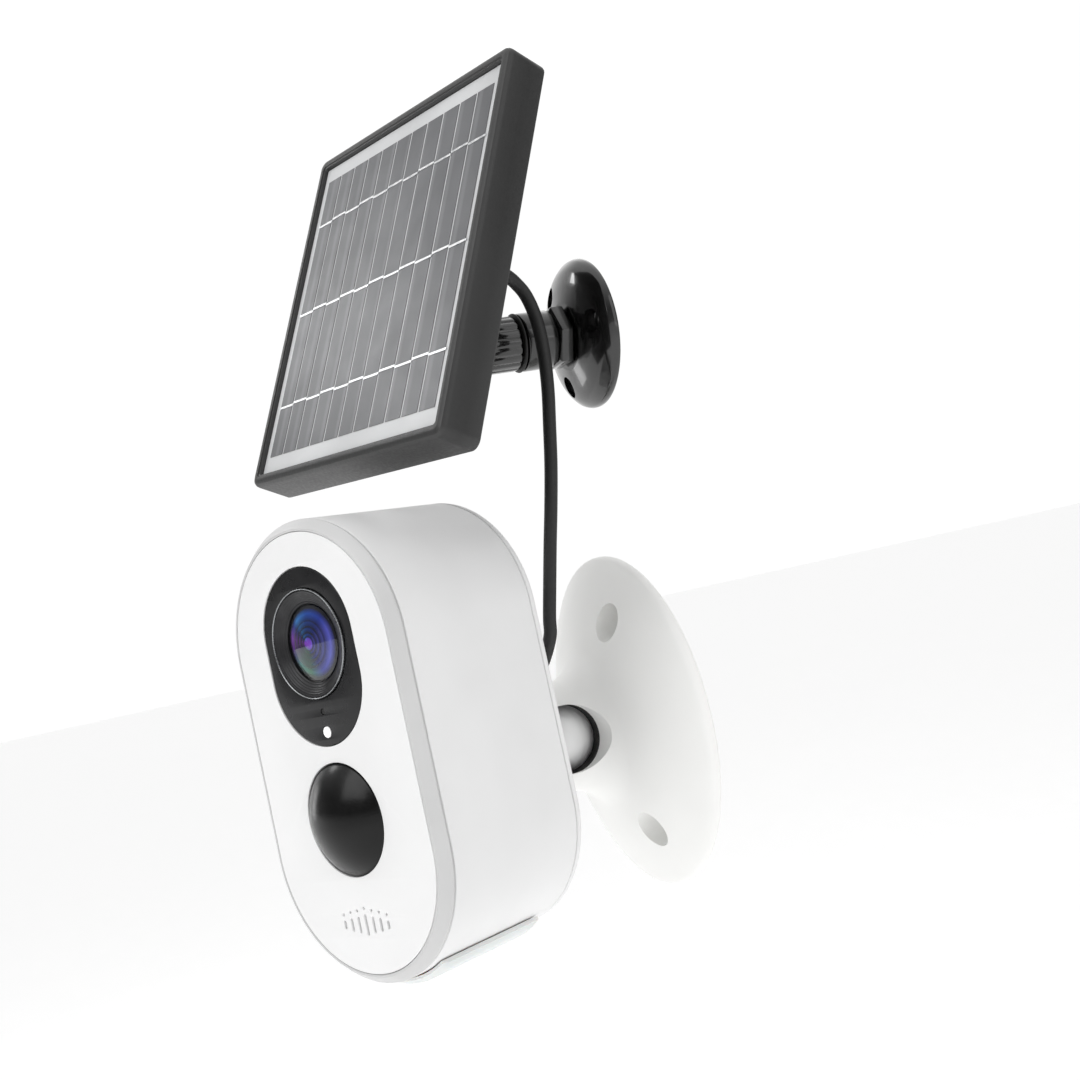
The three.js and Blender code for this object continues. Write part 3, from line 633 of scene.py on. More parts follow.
def lathe(name, profile, place, x=0.0, z=0.0, sides=96, sharp=35):
    """A profile of (radius, y) points turned about an axis along Y through (x, z)."""
    looped = profile[0] == profile[-1]
    rows = profile[:-1] if looped else profile
    points = [
        (x + r * math.cos(2 * math.pi * i / sides), y, z + r * math.sin(2 * math.pi * i / sides))
        for r, y in rows
        for i in range(sides)
    ]
    return new_piece(name, points, skin(len(rows), sides, looped, capped=False), place, sharp)


def sector(name, profile, place, start, end, steps=30):
    """A closed (radius, y) profile turned about the Y axis from one angle to another, in degrees."""
    rows = []
    for i in range(steps + 1):
        angle = math.radians(start + (end - start) * i / steps)
        rows.append([(r * math.cos(angle), y, r * math.sin(angle)) for r, y in profile])
    return new_piece(name, [p for row in rows for p in row], skin(len(rows), len(profile)), place)


def smooth_profile(points, steps=6):
    """A smooth line through (radius, y) points, by Catmull-Rom."""
    def along(p, q, r, s, t):
        square, cube = (2 * p - 5 * q + 4 * r - s) * t * t, (3 * q - p - 3 * r + s) * t**3
        return 0.5 * (2 * q + (r - p) * t + square + cube)

    padded = [points[0], *points, points[-1]]
    line = [
        tuple(along(*ends, i / steps) for ends in zip(*four))
        for four in zip(padded, padded[1:], padded[2:], padded[3:])
        for i in range(steps)
    ]
    return [*line, points[-1]]


def dome(radius, crown, edge, steps=24):
    """(radius, y) points of a round cap, from its crown on the axis to its edge."""
    height = abs(edge - crown)
    full = (radius**2 + height**2) / (2 * height)
    way = math.copysign(1, edge - crown)
    sweep = math.asin(min(1, radius / full))
    return [
        (full * math.sin(sweep * i / steps), crown + way * full * (1 - math.cos(sweep * i / steps)))
        for i in range(steps + 1)
    ]


def panelled(name, outline, holes, front, back, edge, place, sharp=35):
    """A flat plate between two y values, with holes and softly rounded edges. Its outlines are already drawn
    smaller (and its holes larger) by the edge's radius."""
    curve = bpy.data.curves.new(name, "CURVE")
    curve.dimensions = "2D"
    curve.fill_mode = "BOTH"
    for points in (outline, *holes):
        spline = curve.splines.new("POLY")
        spline.points.add(len(points) - 1)
        spline.use_cyclic_u = True
        for point, (px, pz) in zip(spline.points, points):
            point.co = (px, pz, 0, 1)
    curve.extrude = (back - front) / 2 - edge
    curve.bevel_depth = edge
    curve.bevel_resolution = 3
    holder = added(name + "_curve", curve)
    mesh = evaluated(holder)
    bpy.data.objects.remove(holder)
    upright = Matrix(((1, 0, 0, 0), (0, 0, 1, (front + back) / 2), (0, 1, 0, 0), (0, 0, 0, 1)))
    mesh.transform(upright)
    return from_mesh(name, mesh, place, sharp)


def circle(x, z, radius, sides=48):
    return [
        (x + radius * math.cos(2 * math.pi * i / sides), z + radius * math.sin(2 * math.pi * i / sides))
        for i in range(sides)
    ]


BOX_FACES = [(0, 1, 3, 2), (4, 6, 7, 5), (0, 4, 5, 1), (2, 3, 7, 6), (0, 2, 6, 4), (1, 5, 7, 3)]


def boxes(name, spans, place):
    """One piece of square bars, each given by its spans in x, y and z."""
    points, faces = [], []
    for x, y, z in spans:
        faces += [tuple(len(points) + k for k in face) for face in BOX_FACES]
        points += [(a, b, c) for a in x for b in y for c in z]
    return new_piece(name, points, faces, place)


# ---------------------------------------------------------------- the lead

LEAD_DIAMETER = 3.6
LEAD_SIDES = 20
LEAD_POINTS_PER_MM = 2
# (x, y, z) from the gland behind the panel to the plug behind the head, in metres
LEAD_ROUTE = [
    (0.0455, -0.0304, 0.1284), (0.0447, -0.0282, 0.1272), (0.0441, -0.0263, 0.1254),
    (0.0440, -0.0245, 0.1226), (0.0440, -0.0233, 0.1188), (0.0440, -0.0226, 0.1142),
    (0.0440, -0.0225, 0.1088), (0.0440, -0.0229, 0.1026), (0.0440, -0.0239, 0.0948),
    (0.0439, -0.0256, 0.0856), (0.0435, -0.0275, 0.0752), (0.0425, -0.0296, 0.0647),
    (0.0410, -0.0317, 0.0543), (0.0395, -0.0337, 0.0439), (0.0380, -0.0352, 0.0353),
    (0.0371, -0.0356, 0.0311), (0.0347, -0.0366, 0.0270), (0.0316, -0.0380, 0.0228),
    (0.0285, -0.0393, 0.0186), (0.0261, -0.0403, 0.0145), (0.0253, -0.0408, 0.0104),
]
# each stretch spans one joint, from one body to the next; its length is in millimetres, or 0 to share
# what the others leave; the last word says whether it is long enough to count as a free cord
LEAD_STRETCHES = [
    ("lead_at_gland", "panel_head", "panel_stud_body", 11.0, False),
    ("lead_over_bend", "panel_stud_body", "panel_ball_body", 11.0, False),
    ("lead_beside_bracket", "panel_ball_body", "wall_side", 0, True),
    ("lead_between", "wall_side", "camera_ball_body", 0, True),
    ("lead_behind_head", "camera_ball_body", "camera_stud_body", 0, True),
    ("lead_at_plug", "camera_stud_body", "camera_head", 12.0, False),
]


def lead_line():
    """Evenly spaced points along the lead, and its length, in millimetres."""
    points = [tuple(c / MM for c in p) for p in LEAD_ROUTE]
    dense = np.array(smooth_profile(points, 24))
    along = np.concatenate([[0], np.cumsum(np.linalg.norm(np.diff(dense, axis=0), axis=1))])
    at = np.linspace(0, along[-1], round(along[-1] * LEAD_POINTS_PER_MM) + 1)
    return np.stack([np.interp(at, along, dense[:, k]) for k in range(3)], axis=1), along[-1]


def lead_rings(line):
    """A ring of points about each point of the line, carried along without twisting."""
    tangents = np.gradient(line, axis=0)
    tangents /= np.linalg.norm(tangents, axis=1)[:, None]
    side = np.cross(tangents[0], (0.0, 1.0, 0.0))
    rings = []
    for point, tangent in zip(line, tangents):
        side = side - tangent * side.dot(tangent)
        side /= np.linalg.norm(side)
        other = np.cross(tangent, side)
        angles = np.arange(LEAD_SIDES) * 2 * math.pi / LEAD_SIDES
        spokes = np.outer(np.cos(angles), side) + np.outer(np.sin(angles), other)
        rings.append(point + LEAD_DIAMETER / 2 * spokes)
    return np.array(rings)


def make_lead():
    line, total = lead_line()
    rings = lead_rings(line)
    shared = (total - sum(s[3] for s in LEAD_STRETCHES)) / sum(s[3] == 0 for s in LEAD_STRETCHES)
    start = 0
    pieces = []
    for name, first, second, length, declared in LEAD_STRETCHES:
        end = start + round(LEAD_POINTS_PER_MM * (length or shared))
        if name == LEAD_STRETCHES[-1][0]:
            end = len(line) - 1
        rows = rings[start : end + 1]
        piece = new_piece(name, rows.reshape(-1, 3), skin(len(rows), LEAD_SIDES), WALL, 50)
        piece.data.materials.append(JACKET)
        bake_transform(piece)
        pieces.append((piece, declared, line[start : end + 1] * MM))
        start = end
    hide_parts("solar_lead")
    return pieces


LEAD = make_lead()


def declare_lead():
    """Goes through the lead's stretches and passes over those not long enough to be free cord; it does nothing
    with the rest.
    """
    for piece, declared, path in LEAD:
        if not declared:
            continue


# ---------------------------------------------------------------- camera head

W, H = 66.0, 118.0
WINDOW_Z = 24.3
STATUS_Z = 5
SENSOR_Z = -17.2
GRILLE_Z = -43


def at(y, inset):
    """A section of the head's capsule outline at depth y."""
    return (y, W - 2 * inset, H - 2 * inset, W / 2 - inset)


def make_face():
    band = loft("face_band", [
        at(-0.2, 0.35), at(-0.35, 0.1), at(-0.6, 0), at(-0.9, 0.02), at(-1.15, 0.14), at(-3.2, 2.0),
        at(-3.42, 2.25), at(-3.5, 2.5), at(-3.5, 2.75), at(-3.4, 2.9), at(-1.3, 2.9), at(-1.3, 4.0),
        at(-0.2, 4.0),
    ], HEAD, steps=28, ring=True)
    # the band's grey is painted shade: the band is the same white plastic, facing away from the light
    show(band, "camera_head", BAND_PAINTED_SHADE, "white_face")
    edge = 0.22
    slots = []
    for i, height in enumerate([2.4, 3.6, 4.4, 5.6, 4.4, 3.6, 2.4]):
        x = (i - 3) * 2.8
        slots.append(rounded(1.1 + 2 * edge - 0.2, height + 2 * edge - 0.2, 0.9, 4, x, GRILLE_Z - 0.6))
        slots.append(circle(x, GRILLE_Z + height / 2 + 0.75, 0.5 + edge - 0.1, 16))
    face = panelled(
        "face_plate", rounded(W - 6.1 - 2 * edge, H - 6.1 - 2 * edge, W / 2 - 3.05 - edge, 28),
        [
            rounded(35.5 + 2 * edge, 45.9 + 2 * edge, 17.75 + edge, 24, 0, WINDOW_Z),
            circle(0, SENSOR_Z, 14.45 + edge, 72),
            *slots,
        ],
        -3.5, -1.3, edge, HEAD,
    )
    show(face, "camera_head", FACE, "white_face", "front_face")


def make_shell():
    shell = loft("side_shell", [
        at(0.1, 0.3), at(0.25, 0.08), at(0.5, 0), at(22, 0), at(44.0, 0), at(44.3, 0.08), at(44.45, 0.3),
        at(44.45, 2.2), at(40, 2.2), at(4, 2.2), at(0.1, 2.2),
    ], HEAD, steps=28, ring=True)
    cut(shell, boxes("bay_cutter", [((-9, 9), (8.9, 31.1), (-70, -50))], HEAD))
    show(shell, "camera_head", SHELL, "white_shell", "head_shell")


def corners(x, z):
    return [(-x, z), (x, z), (-x, -z), (x, -z)]


def make_rear_cover():
    rim = loft("cover_rim", [
        at(44.75, 0.35), at(44.9, 0.1), at(45.15, 0), at(45.9, 0), at(46.3, 0.15), at(46.58, 0.45),
        at(46.7, 0.9), at(46.7, 2.4), at(46.4, 2.7), at(44.75, 2.7),
    ], HEAD, steps=28, ring=True)
    show(rim, "camera_head", SHELL, "white_shell")
    edge = 0.2
    screws = corners(23, 40.5)
    holes = [circle(x, z, 2.9 + edge, 32) for x, z in screws]
    holes.append(circle(0, STUD_Z, 6.2 + edge, 48))
    holes.append(rounded(10.6 + 2 * edge, 5.2 + 2 * edge, 1.6, 5, 16, -17))
    back = panelled(
        "cover_plate", rounded(W - 5.6 - 2 * edge, H - 5.6 - 2 * edge, W / 2 - 2.8 - edge, 28), holes,
        45.0, 46.6, edge, HEAD,
    )
    show(back, "camera_head", SHELL, "white_shell", "rear_cover")
    for i, (x, z) in enumerate(screws):
        head = lathe(f"cover_screw_head_{i + 1}", [
            (0.0, 46.2), (0.9, 46.2), (1.0, 46.3), (1.15, 46.8), (1.9, 46.75), (2.45, 46.5), (2.6, 46.2),
            (2.6, 45.7), (1.4, 45.5), (1.3, 30), (0.0, 29.5),
        ], HEAD, x, z, 32)
        show(head, "camera_head", STEEL, "steel", f"cover_screw_{i + 1}")


def make_window():
    edge = 0.2
    window = panelled(
        "window_pane", rounded(35 - 2 * edge, 45.4 - 2 * edge, 17.5 - edge, 28, 0, WINDOW_Z),
        [
            circle(0, LENS_Z, 14.25 + edge, 96),
            circle(0, STATUS_Z, 1.6 + edge, 24),
            circle(0, 10.2, 0.85 + edge, 20),
        ],
        -3.35, -1.7, edge, HEAD,
    )
    show(window, "camera_head", WINDOW, "window_black", "window_plate")
    ring = lathe("lens_cone", [
        (10.1, 1.2), (10.1, -2.0), (10.4, -2.3), (10.7, -2.25), (10.95, -2.5), (11.3, -2.6), (11.5, -2.8),
        (12.0, -3.0), (12.25, -3.25), (12.8, -3.5), (13.15, -3.7), (13.5, -3.75), (13.6, -3.55), (13.6, 1.2),
        (10.1, 1.2),
    ], HEAD, 0, LENS_Z, 128, 30)
    show(ring, "camera_head", BARREL, "window_black", "lens_bezel")
    bright = lathe("lens_trim_ring", [
        (13.68, 0.5), (13.68, -3.75), (13.74, -3.95), (13.88, -4.02), (14.0, -3.92), (14.05, -3.6),
        (14.05, 0.5), (13.68, 0.5),
    ], HEAD, 0, LENS_Z, 128, 50)
    show(bright, "camera_head", BRIGHT_RING, "steel")
    outer = lathe("front_glass", [*dome(9.9, -3.8, -2.1), (9.9, -0.6), (0.0, -0.6)], HEAD, 0, LENS_Z, 96, 30)
    show(outer, "camera_head", GLASS, "clear_glass", "front_lens")
    under = [*dome(9.5, -3.4, -1.8), (9.8, -1.2), (9.8, 1.0), (0.0, 1.0)]
    # the coloured dome under the front glass carries the painted reflections and their faint glow
    painted_reflection_dome = lathe("lens_dome_painted_reflections", under, HEAD, 0, LENS_Z, 96, 30)
    show(painted_reflection_dome, "camera_head", LENS_PAINTED_REFLECTIONS, "clear_glass")
    button = [*dome(1.4, -3.55, -3.3, 6), (1.4, 1.5), (0.0, 1.5)]
    status = lathe("status_diffuser", button, HEAD, 0, STATUS_Z, 32, 30)
    show(status, "camera_head", LIGHT, "light_pipe", "status_light")
    sensor = dome(13.75, -8.9, -3.55, 32)
    shield = lathe("motion_dome", [
        *sensor, (13.95, -3.4), (14.2, -3.35), (14.2, -0.6), (12.8, -0.6), (12.8, -2.4),
        *dome(12.4, -7.8, -3.0, 20)[::-1],
    ], HEAD, 0, SENSOR_Z, 96, 40)
    show(shield, "camera_head", DOME, "window_black", "pir_dome")


def make_flap():
    """A silicone door that follows the round underside, with a finger lip at its front edge."""
    centre = -(H / 2 - W / 2)
    across, deep = 36, 16
    half = math.radians(31)
    front, back = 3, 38
    rows = []
    for layer in (0, 1):
        for j in range(deep + 1):
            y = front + (back - front) * j / deep
            for i in range(across + 1):
                angle = -half + 2 * half * i / across
                from_side = min(i, across - i) / across * 2 * half * 34
                near_rim = min(from_side, y - front, back - y)
                drop = 0.9 * max(0.0, 1 - near_rim / 1.4) ** 2
                lip = 0.35 if y < 5 else 0.0
                radius = W / 2 + 0.35 if layer else W / 2 + 2.3 - drop - lip
                rows.append((radius * math.sin(angle), y, centre - radius * math.cos(angle)))
    wide = across + 1
    size = wide * (deep + 1)
    starts = [layer + j * wide + i for layer in (0, size) for j in range(deep) for i in range(across)]
    faces = [(a, a + 1, a + wide + 1, a + wide) for a in starts]
    rim = list(range(wide))
    rim += [j * wide + across for j in range(1, deep + 1)]
    rim += [deep * wide + i for i in range(across - 1, -1, -1)]
    rim += [j * wide for j in range(deep - 1, 0, -1)]
    faces += [(a, b, b + size, a + size) for a, b in zip(rim, rim[1:] + rim[:1])]
    flap = new_piece("silicone_flap", rows, faces, HEAD, 50)
    show(flap, "port_flap_body", SILICONE, "white_rubber", "port_flap")


def make_plug():
    relief = [(0.0, 0.0), (3.3, 0.0)]
    for i in range(6):
        low = 0.5 + i * 1.15
        wide = 3.3 - 0.15 * i
        groove = wide - 0.75
        relief += [(wide, low), (wide - 0.1, low + 0.65), (groove, low + 0.75), (groove, low + 1.05)]
    relief += [(2.3, 7.5), (1.85, 7.5), (0.0, 7.45)]
    upright = HEAD @ Matrix.Translation((16, 54.6, -11.9)) @ Matrix.Rotation(math.pi / 2, 4, "X")
    boot = lathe("plug_boot", relief, upright, sides=32, sharp=40)
    show(boot, "camera_head", JACKET, "black_rubber", "plug_relief")
    return boot


make_face()
make_shell()
make_rear_cover()
make_window()
make_flap()
plug_boot = make_plug()

# ---------------------------------------------------------------- wall plate and its joint


def make_wall_plate():
    outside = smooth_profile([
        (49.55, 0.0), (50.0, -0.7), (49.95, -1.9), (49.2, -3.1), (46.6, -4.8), (41, -7.6), (33.5, -10.9),
        (26.5, -13.25), (22.6, -15), (19.6, -17.7), (17.5, -21), (16.3, -24.5), (15.2, -29.5), (14.6, -31.6),
    ], 5)
    lip = [(14.1, -32.6), (13.3, -33.1), (12.4, -33.2), (11.2, -33.1), (10.3, -32.6), (9.5, -31.7)]
    seat = [
        (10.95 * math.sin(a), -26 + 10.95 * -math.cos(a))
        for a in (math.radians(60 + 10 * i) for i in range(13))
    ]
    back = [(0.0, 0.0), (15.6, 0.0), (16, -0.3), (16, -11), (24, -10.6), (28, -9.6), (28, -0.3), (28.3, 0.0)]
    solid = lathe("wall_plate", [*back, *outside, *lip, *seat], WALL, sides=144, sharp=32)
    solid.data.materials.append(PLATE)
    # the second finish, black, goes on the slot's inner walls, out to 10.85 mm from the axis: painted shade
    # where the deep end of the slot lies in shadow
    solid.data.materials.append(NYLON_AND_SLOT_SHADE)
    inner, outer = (plate_slot(*span) for span in (("slot_shade_cutter", -1, 10.85), ("slot_outer", 10.8, 30)))
    inner.data.materials.append(NYLON_AND_SLOT_SHADE)
    outer.data.materials.append(PLATE)
    cutters = [inner, outer]
    screw_circle = 35
    for angle in (60, 180, 300):
        # the hollow between this screw's boss and the next one's
        pocket = sector("pocket_cutter", [
            (30, 1), (30, -9), (33, -8), (43.5, -3.4), (45, -1.4), (45, 1),
        ], WALL, angle + 14, angle + 106)
        pocket.data.materials.append(PLATE)
        cutters.append(pocket)
        x = screw_circle * math.cos(math.radians(angle))
        z = screw_circle * math.sin(math.radians(angle))
        sunk = lathe("recess_cutter", [
            (0.0, -20), (5.6, -20), (5.35, -9), (5.3, -3.7), (5.0, -3.2), (2.7, -3.2), (2.5, -3.0), (2.5, 3),
            (0.0, 3),
        ], WALL, x, z, 48)
        sunk.data.materials.append(PLATE)
        cutters.append(sunk)
    cut(solid, *cutters, rounding=0.35, sharp=32)
    show(solid, "wall_side", None, "white_shell", "camera_wall_plate")


def plate_slot(name, x0, x1):
    """A cutter for the neck's side slot: round at its bottom, open through the socket's lip."""
    radius, bottom = 9.9, -27.0
    turns = [math.pi * i / 32 for i in range(33)]
    rim = [(radius * math.cos(turn), bottom + radius * math.sin(turn)) for turn in turns]
    rim += [(-radius, -50), (radius, -50)]
    points = [(x, y, z) for x in (x0, x1) for z, y in rim]
    return new_piece(name, points, skin(2, len(rim)), WALL)


def make_ball_and_stud():
    """The ball with its moulding line, the threaded stud with its flange, and the ribbed lock nut."""
    centre = HEAD_DEPTH + HEAD_REACH
    ball = []
    for i in range(49):
        angle = math.pi * i / 48
        radius = BALL_RADIUS - (0.12 if i == 24 else 0.0)
        ball.append((radius * math.sin(angle), centre - radius * math.cos(angle)))
    piece = lathe("ball", ball, HEAD, 0, STUD_Z, 96, 60)
    show(piece, "camera_ball_body", FACE, "white_shell", "camera_ball")
    thread = []
    for i in range(21):
        y = 41 + i * 0.62
        thread += [(3.1, y), (2.65, y + 0.31)]
    neck = lathe("stud", [
        (0.0, 40.3), (2.6, 40.3), *thread, (3.1, 53.9), (8.8, 54.0), (9.3, 54.4), (9.3, 56.0), (8.9, 56.4),
        (5.0, 57.2), (4.2, 58.4), (3.8, 62), (3.6, 66), (3.9, 67.9), (0.0, 67.9),
    ], HEAD, 0, STUD_Z, 64, 30)
    show(neck, "camera_stud_body", STEEL, "steel", "camera_stud")
    nut = grooved_ring("stud_nut", 3.4, 8.2, 47.3, 53.6, 28, 0.35, HEAD @ Matrix.Translation((0, 0, STUD_Z)))
    show(nut, "stud_lock_nut_body", NYLON_AND_SLOT_SHADE, "black_moulding", "stud_lock_nut")


def grooved_ring(name, bore, radius, y0, y1, grooves, depth, place, per_groove=8, round_off=0.5):
    """A ring whose outside has soft grooves along it and rounded ends."""
    sides = grooves * per_groove
    rows = []
    for y, shrink in (
        (y0, round_off), (y0 + round_off * 0.4, 0.15), (y0 + round_off, 0),
        (y1 - round_off, 0), (y1 - round_off * 0.4, 0.15), (y1, round_off),
    ):
        ring = []
        for i in range(sides):
            angle = 2 * math.pi * i / sides
            dip = depth * max(0.0, math.cos(2 * math.pi * (i % per_groove) / per_groove)) ** 1.5
            r = radius - shrink - dip
            ring.append((r * math.cos(angle), y, r * math.sin(angle)))
        rows.append(ring)
    rows += [[(x, y, z) for x, z in circle(0, 0, bore, sides)] for y in (y1, y0)]
    return new_piece(name, [p for row in rows for p in row], skin(len(rows), sides, closed=True), place, 30)


make_wall_plate()
make_ball_and_stud()

# ---------------------------------------------------------------- solar panel

PANEL_W, PANEL_H, LIP = 95.0, 105.0, 3.4
CABLE_BOX = (22.5, 6.8)


def rim_at(y, inset, radius):
    return (y, PANEL_W - 2 * inset, PANEL_H - 2 * inset, radius)


def make_panel():
    border = loft("panel_rim", [
        rim_at(0.0, 1.9, 1.4), rim_at(0.08, 1.3, 1.8), rim_at(0.45, 0.55, 2.3), rim_at(1.1, 0.12, 2.7),
        rim_at(1.9, 0, 2.8), rim_at(6, 0, 2.8), rim_at(11.3, 0, 2.8), rim_at(11.8, 0.18, 2.6),
        rim_at(12.0, 0.6, 2.3), rim_at(12.0, 1.8, 1.2), rim_at(4.0, 1.8, 1.2), rim_at(4.0, LIP, 0.8),
        rim_at(0.75, LIP, 0.8),
        rim_at(0.4, LIP - 0.15, 0.9), rim_at(0.35, LIP - 0.6, 1.0), rim_at(0.05, LIP - 0.8, 1.1),
    ], PANEL, steps=8, ring=True, sharp=28)
    show(border, "panel_head", PANEL_ABS, "panel_black", "panel_frame")
    sheet_w, sheet_h = PANEL_W - 2 * LIP - 0.6, PANEL_H - 2 * LIP - 0.6
    sheet = loft("backing_film", [(1.4, sheet_w, sheet_h, 0.5), (3.7, sheet_w, sheet_h, 0.5)], PANEL, steps=3)
    show(sheet, "panel_head", BACKING, "clear_glass", "panel_glass")
    columns, cell_w, cell_h, gap = 11, 83.4, 88.0, 0.75
    pitch = cell_w / columns
    starts = [i * pitch - cell_w / 2 for i in range(columns)]
    strips = boxes("cell_strips", [
        ((x + gap / 2, x + gap / 2 + pitch - gap), (1.25, 1.45), (-cell_h / 2, cell_h / 2)) for x in starts
    ], PANEL)
    show(strips, "panel_head", SILICON, "cells", "cell_sheet")
    ribbons = []
    for level in (29.0, 0.0, -29.0):
        for i, x in enumerate(starts):
            z = level + (0.35 if i % 2 else -0.15)
            ribbons.append(((x + 0.3, x + 0.2 + pitch), (1.12, 1.26), (z - 0.32, z + 0.32)))
    show(boxes("bus_ribbons", ribbons, PANEL), "panel_head", RIBBON, "steel")
    back = loft("back_sheet", [
        (10.1, 90.8, 100.8, 1.4), (10.15, 91.0, 101.0, 1.5), (11.5, 91.0, 101.0, 1.5),
        (11.68, 90.6, 100.6, 1.4), (11.7, 90.0, 100.0, 1.2),
    ], PANEL, steps=6)
    bore = 4.9
    hole = [(0.0, 8.0), (bore, 8.0), (bore, 14.0), (0.0, 14.0)]
    cut(back, lathe("bore_cutter", hole, PANEL, 0, PANEL_STUD_Z, 64))
    show(back, "panel_head", PANEL_ABS, "panel_black", "panel_back")
    boss = lathe("stud_boss", [
        (bore, 11.6), (9.4, 11.6), (9.1, 11.9), (9.0, 12.3), (9.0, 13.0), (8.7, 13.35), (8.3, 13.4),
        (5.2, 13.4), (bore, 13.2), (bore, 11.6),
    ], PANEL, 0, PANEL_STUD_Z, 64)
    show(boss, "panel_head", PANEL_ABS, "panel_black")
    box = loft("cable_box", [
        (11.9, 26, 22, 2), (12.2, 26, 22, 2), (16.6, 25.7, 21.7, 2), (17.4, 25.2, 21.2, 1.9),
        (17.9, 24.2, 20.2, 1.6), (18.0, 23.4, 19.4, 1.4),
    ], PANEL, *CABLE_BOX, 8)
    show(box, "panel_head", PANEL_ABS, "panel_black", "junction_box")
    gland = [(0.0, 18.2), (4.4, 18.2), (4.4, 20.4), (4.1, 20.7), (3.4, 20.9)]
    for i in range(4):
        y = 21.1 + i * 1.0
        wide = 3.1 - 0.16 * i
        gland += [(wide, y), (wide, y + 0.5), (wide - 0.45, y + 0.6), (wide - 0.45, y + 0.9)]
    gland += [(2.3, 25.4), (0.0, 25.4)]
    piece = lathe("gland", gland, PANEL, *CABLE_BOX, 32, 35)
    show(piece, "panel_head", JACKET, "black_rubber", "lead_gland")


make_panel()

# ---------------------------------------------------------------- panel bracket


def make_bracket():
    slope = [(21.5, -1.3), (20.9, -2.7), (18.8, -4.5), (15.5, -5.8), (12, -6.7), (9.5, -7.25)]
    disc = lathe("bracket_disc", [
        (0.0, 0.0), (20.9, 0.0), (21.35, -0.25), (21.5, -0.7), *smooth_profile(slope, 5),
        (6.2, -7.4), (5.7, -7.3), (5.5, -7.0), (5.5, -2.4), (0.0, -2.4),
    ], BRACKET, sides=128, sharp=32)
    cutters = []
    for x, z in circle(0, 0, 15.5, 3):
        cutters.append(lathe("hole_cutter", [
            (0.0, -20), (3.3, -20), (3.2, -2.9), (2.9, -2.6), (2.2, -2.5), (2.2, 3), (0.0, 3),
        ], BRACKET, x, z, 40))
    cut(disc, *cutters, rounding=0.25, sharp=32)
    show(disc, "wall_side", ENAMEL, "black_gloss", "panel_wall_plate")
    nut = lathe("hex_nut", [
        (5.6, -7.7), (8.4, -7.7), (9.3, -8.3), (9.3, -11.7), (8.4, -12.3), (5.6, -12.3), (5.6, -7.7),
    ], BRACKET, sides=6, sharp=30)
    bevel(nut, 0.3, 3, 30)
    show(nut, "wall_side", ENAMEL, "black_gloss", "bracket_nut")
    seat = [
        (6.35 * math.sin(a), -47.6 + 6.35 * math.cos(a)) for a in (math.radians(8 * i) for i in range(9))
    ]
    tube = lathe("tube", [
        (0.0, -2.7), (5.2, -2.7), (5.2, -12.6), (7.7, -12.6), (8.1, -12.75), (8.25, -13.1), (8.25, -21.3),
        (8.1, -21.65), (7.7, -21.8), (6.0, -21.8), (6.0, -41.7), (5.9, -42.2), *seat[:0:-1], (0.0, -41.25),
    ], BRACKET, sides=96, sharp=32)
    show(tube, "wall_side", ENAMEL, "black_gloss", "bracket_tube")
    oval = [(7.35 + 1.05 * x, -22.65 + 0.55 * y) for x, y in circle(0, 0, 1, 20)]
    ring = lathe("o_ring", [*oval, oval[0]], BRACKET, sides=96, sharp=60)
    show(ring, "wall_side", JACKET, "black_rubber", "bracket_o_ring")
    sleeve = grooved_ring("sleeve", 6.35, 7.8, -50.4, -23.5, 18, 0.3, BRACKET, 10, 0.8)
    lip = lathe("sleeve_lip", [
        (6.4, -49.9), (6.4, -47.9), (6.1, -49.0), (5.75, -50.0), (5.9, -50.35), (6.4, -50.35), (6.4, -49.9),
    ], BRACKET, sides=96)
    show(sleeve, "clamp_sleeve_body", ENAMEL, "black_moulding", "clamp_sleeve")
    show(lip, "clamp_sleeve_body", ENAMEL, "black_moulding")


make_bracket()
declare_lead()

# ---------------------------------------------------------------- floor and light


BACKDROP_WAY = (-0.93, 0.37, 0.0)
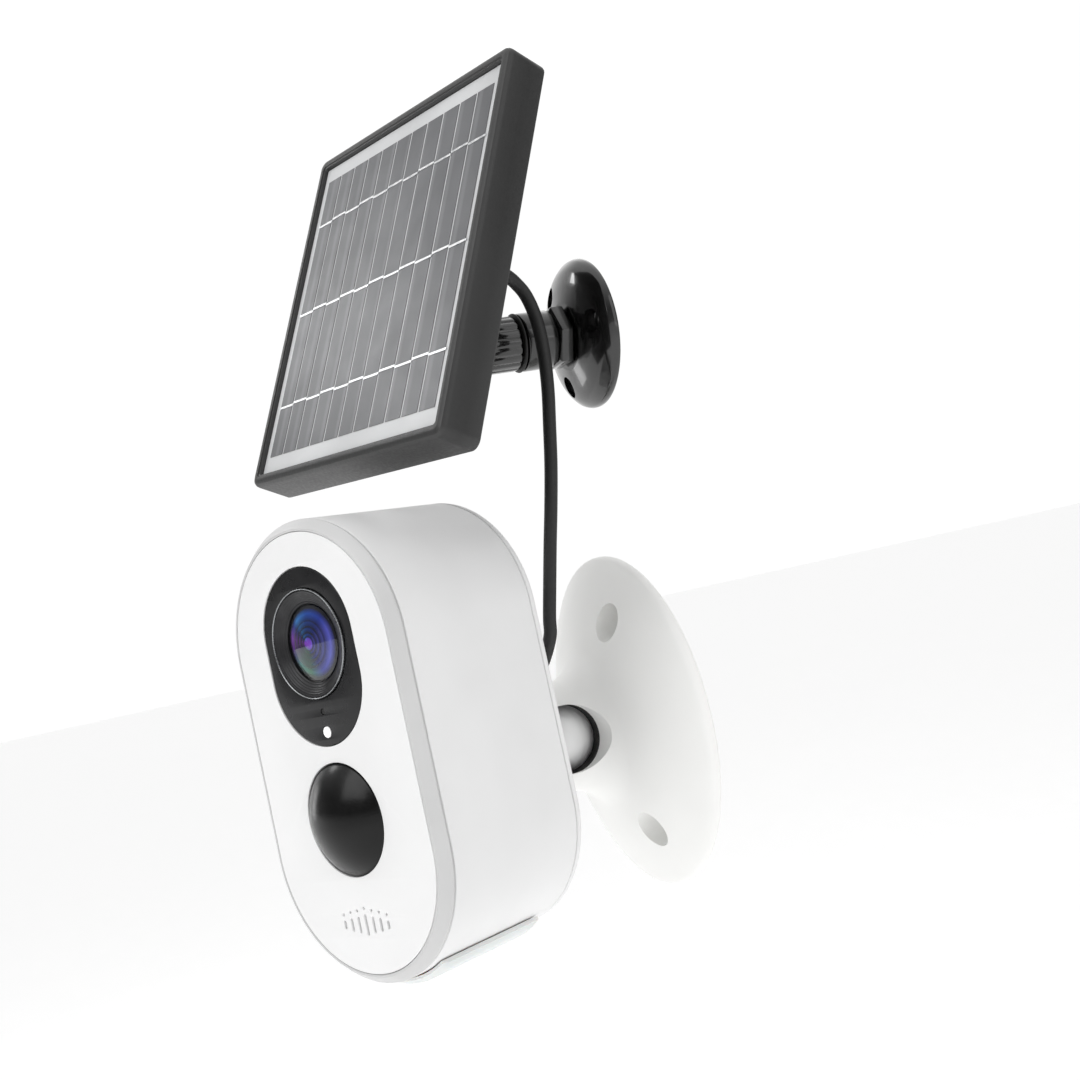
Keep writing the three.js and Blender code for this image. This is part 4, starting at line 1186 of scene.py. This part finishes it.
# direction from the object, distance to the softbox, its width and height in metres, and its power in watts
SOFTBOXES = {
    "front": ((0.33, -0.73, 0.6), 1.2, (0.8, 0.8), 4.1),
    "side": ((0.85, 0.45, 0.3), 1.2, (0.9, 0.9), 2.4),
    "upper_left": ((-0.61, -0.51, 0.6), 1.2, (0.28, 0.18), 1.0),
    "left": ((-0.845, -0.53, 0.06), 1.2, (0.2, 0.36), 0.5),
}


def make_world():
    """A white backdrop behind the object, a bright ceiling and a dimmer room."""
    world = bpy.data.worlds.new("studio")
    world.use_nodes = True
    tree = world.node_tree
    way = node(tree, "TexCoord").outputs["Generated"]
    towards = node(tree, "VectorMath", {"operation": "DOT_PRODUCT", 1: BACKDROP_WAY}, {0: way})
    height = node(tree, "SeparateXYZ", links={"Vector": way})
    backdrop = node(
        tree, "MapRange", {"From Min": 0.45, "From Max": 0.8, "To Min": 0.24, "To Max": 1.02},
        {"Value": towards.outputs["Value"]},
    )
    ceiling = node(
        tree, "MapRange", {"From Min": 0.35, "From Max": 0.9, "To Min": 0.0, "To Max": 0.8},
        {"Value": height.outputs["Z"]},
    )
    total = node(tree, "Math", {"operation": "ADD"}, {0: backdrop.outputs[0], 1: ceiling.outputs[0]})
    light = tree.nodes["Background"]
    light.inputs["Color"].default_value = linear("#fefefe")
    tree.links.new(total.outputs[0], light.inputs["Strength"])
    bpy.context.scene.world = world


def make_studio():
    size, level = 60.0, -0.3
    floor = bpy.data.meshes.new("floor")
    corner_ways = [(-1, -1), (1, -1), (1, 1), (-1, 1)]
    floor.from_pydata([(x * size, y * size, level) for x, y in corner_ways], [], [(0, 1, 2, 3)])
    ground = added("floor", floor)
    paper = moulded(
        "studio_paper", ("#fafafa", "#fcfcfc"), (0.85, 0.95), 400.0, 0.0,
        Emission_Strength=0.16, Emission_Color=linear("#ffffff"),
    )
    ground.data.materials.append(paper)
    target = Vector((0.02, -0.05, 0.06))
    for name, (way, distance, (width, height), power) in SOFTBOXES.items():
        data = bpy.data.lights.new(name, "AREA")
        data.shape = "RECTANGLE"
        data.size = width
        data.size_y = height
        data.energy = power
        lamp = added(name, data)
        lamp.location = target + Vector(way).normalized() * distance
        lamp.rotation_euler = (target - lamp.location).to_track_quat("-Z", "Y").to_euler()


make_world()
make_studio()
bpy.context.scene.view_settings.view_transform = "Standard"
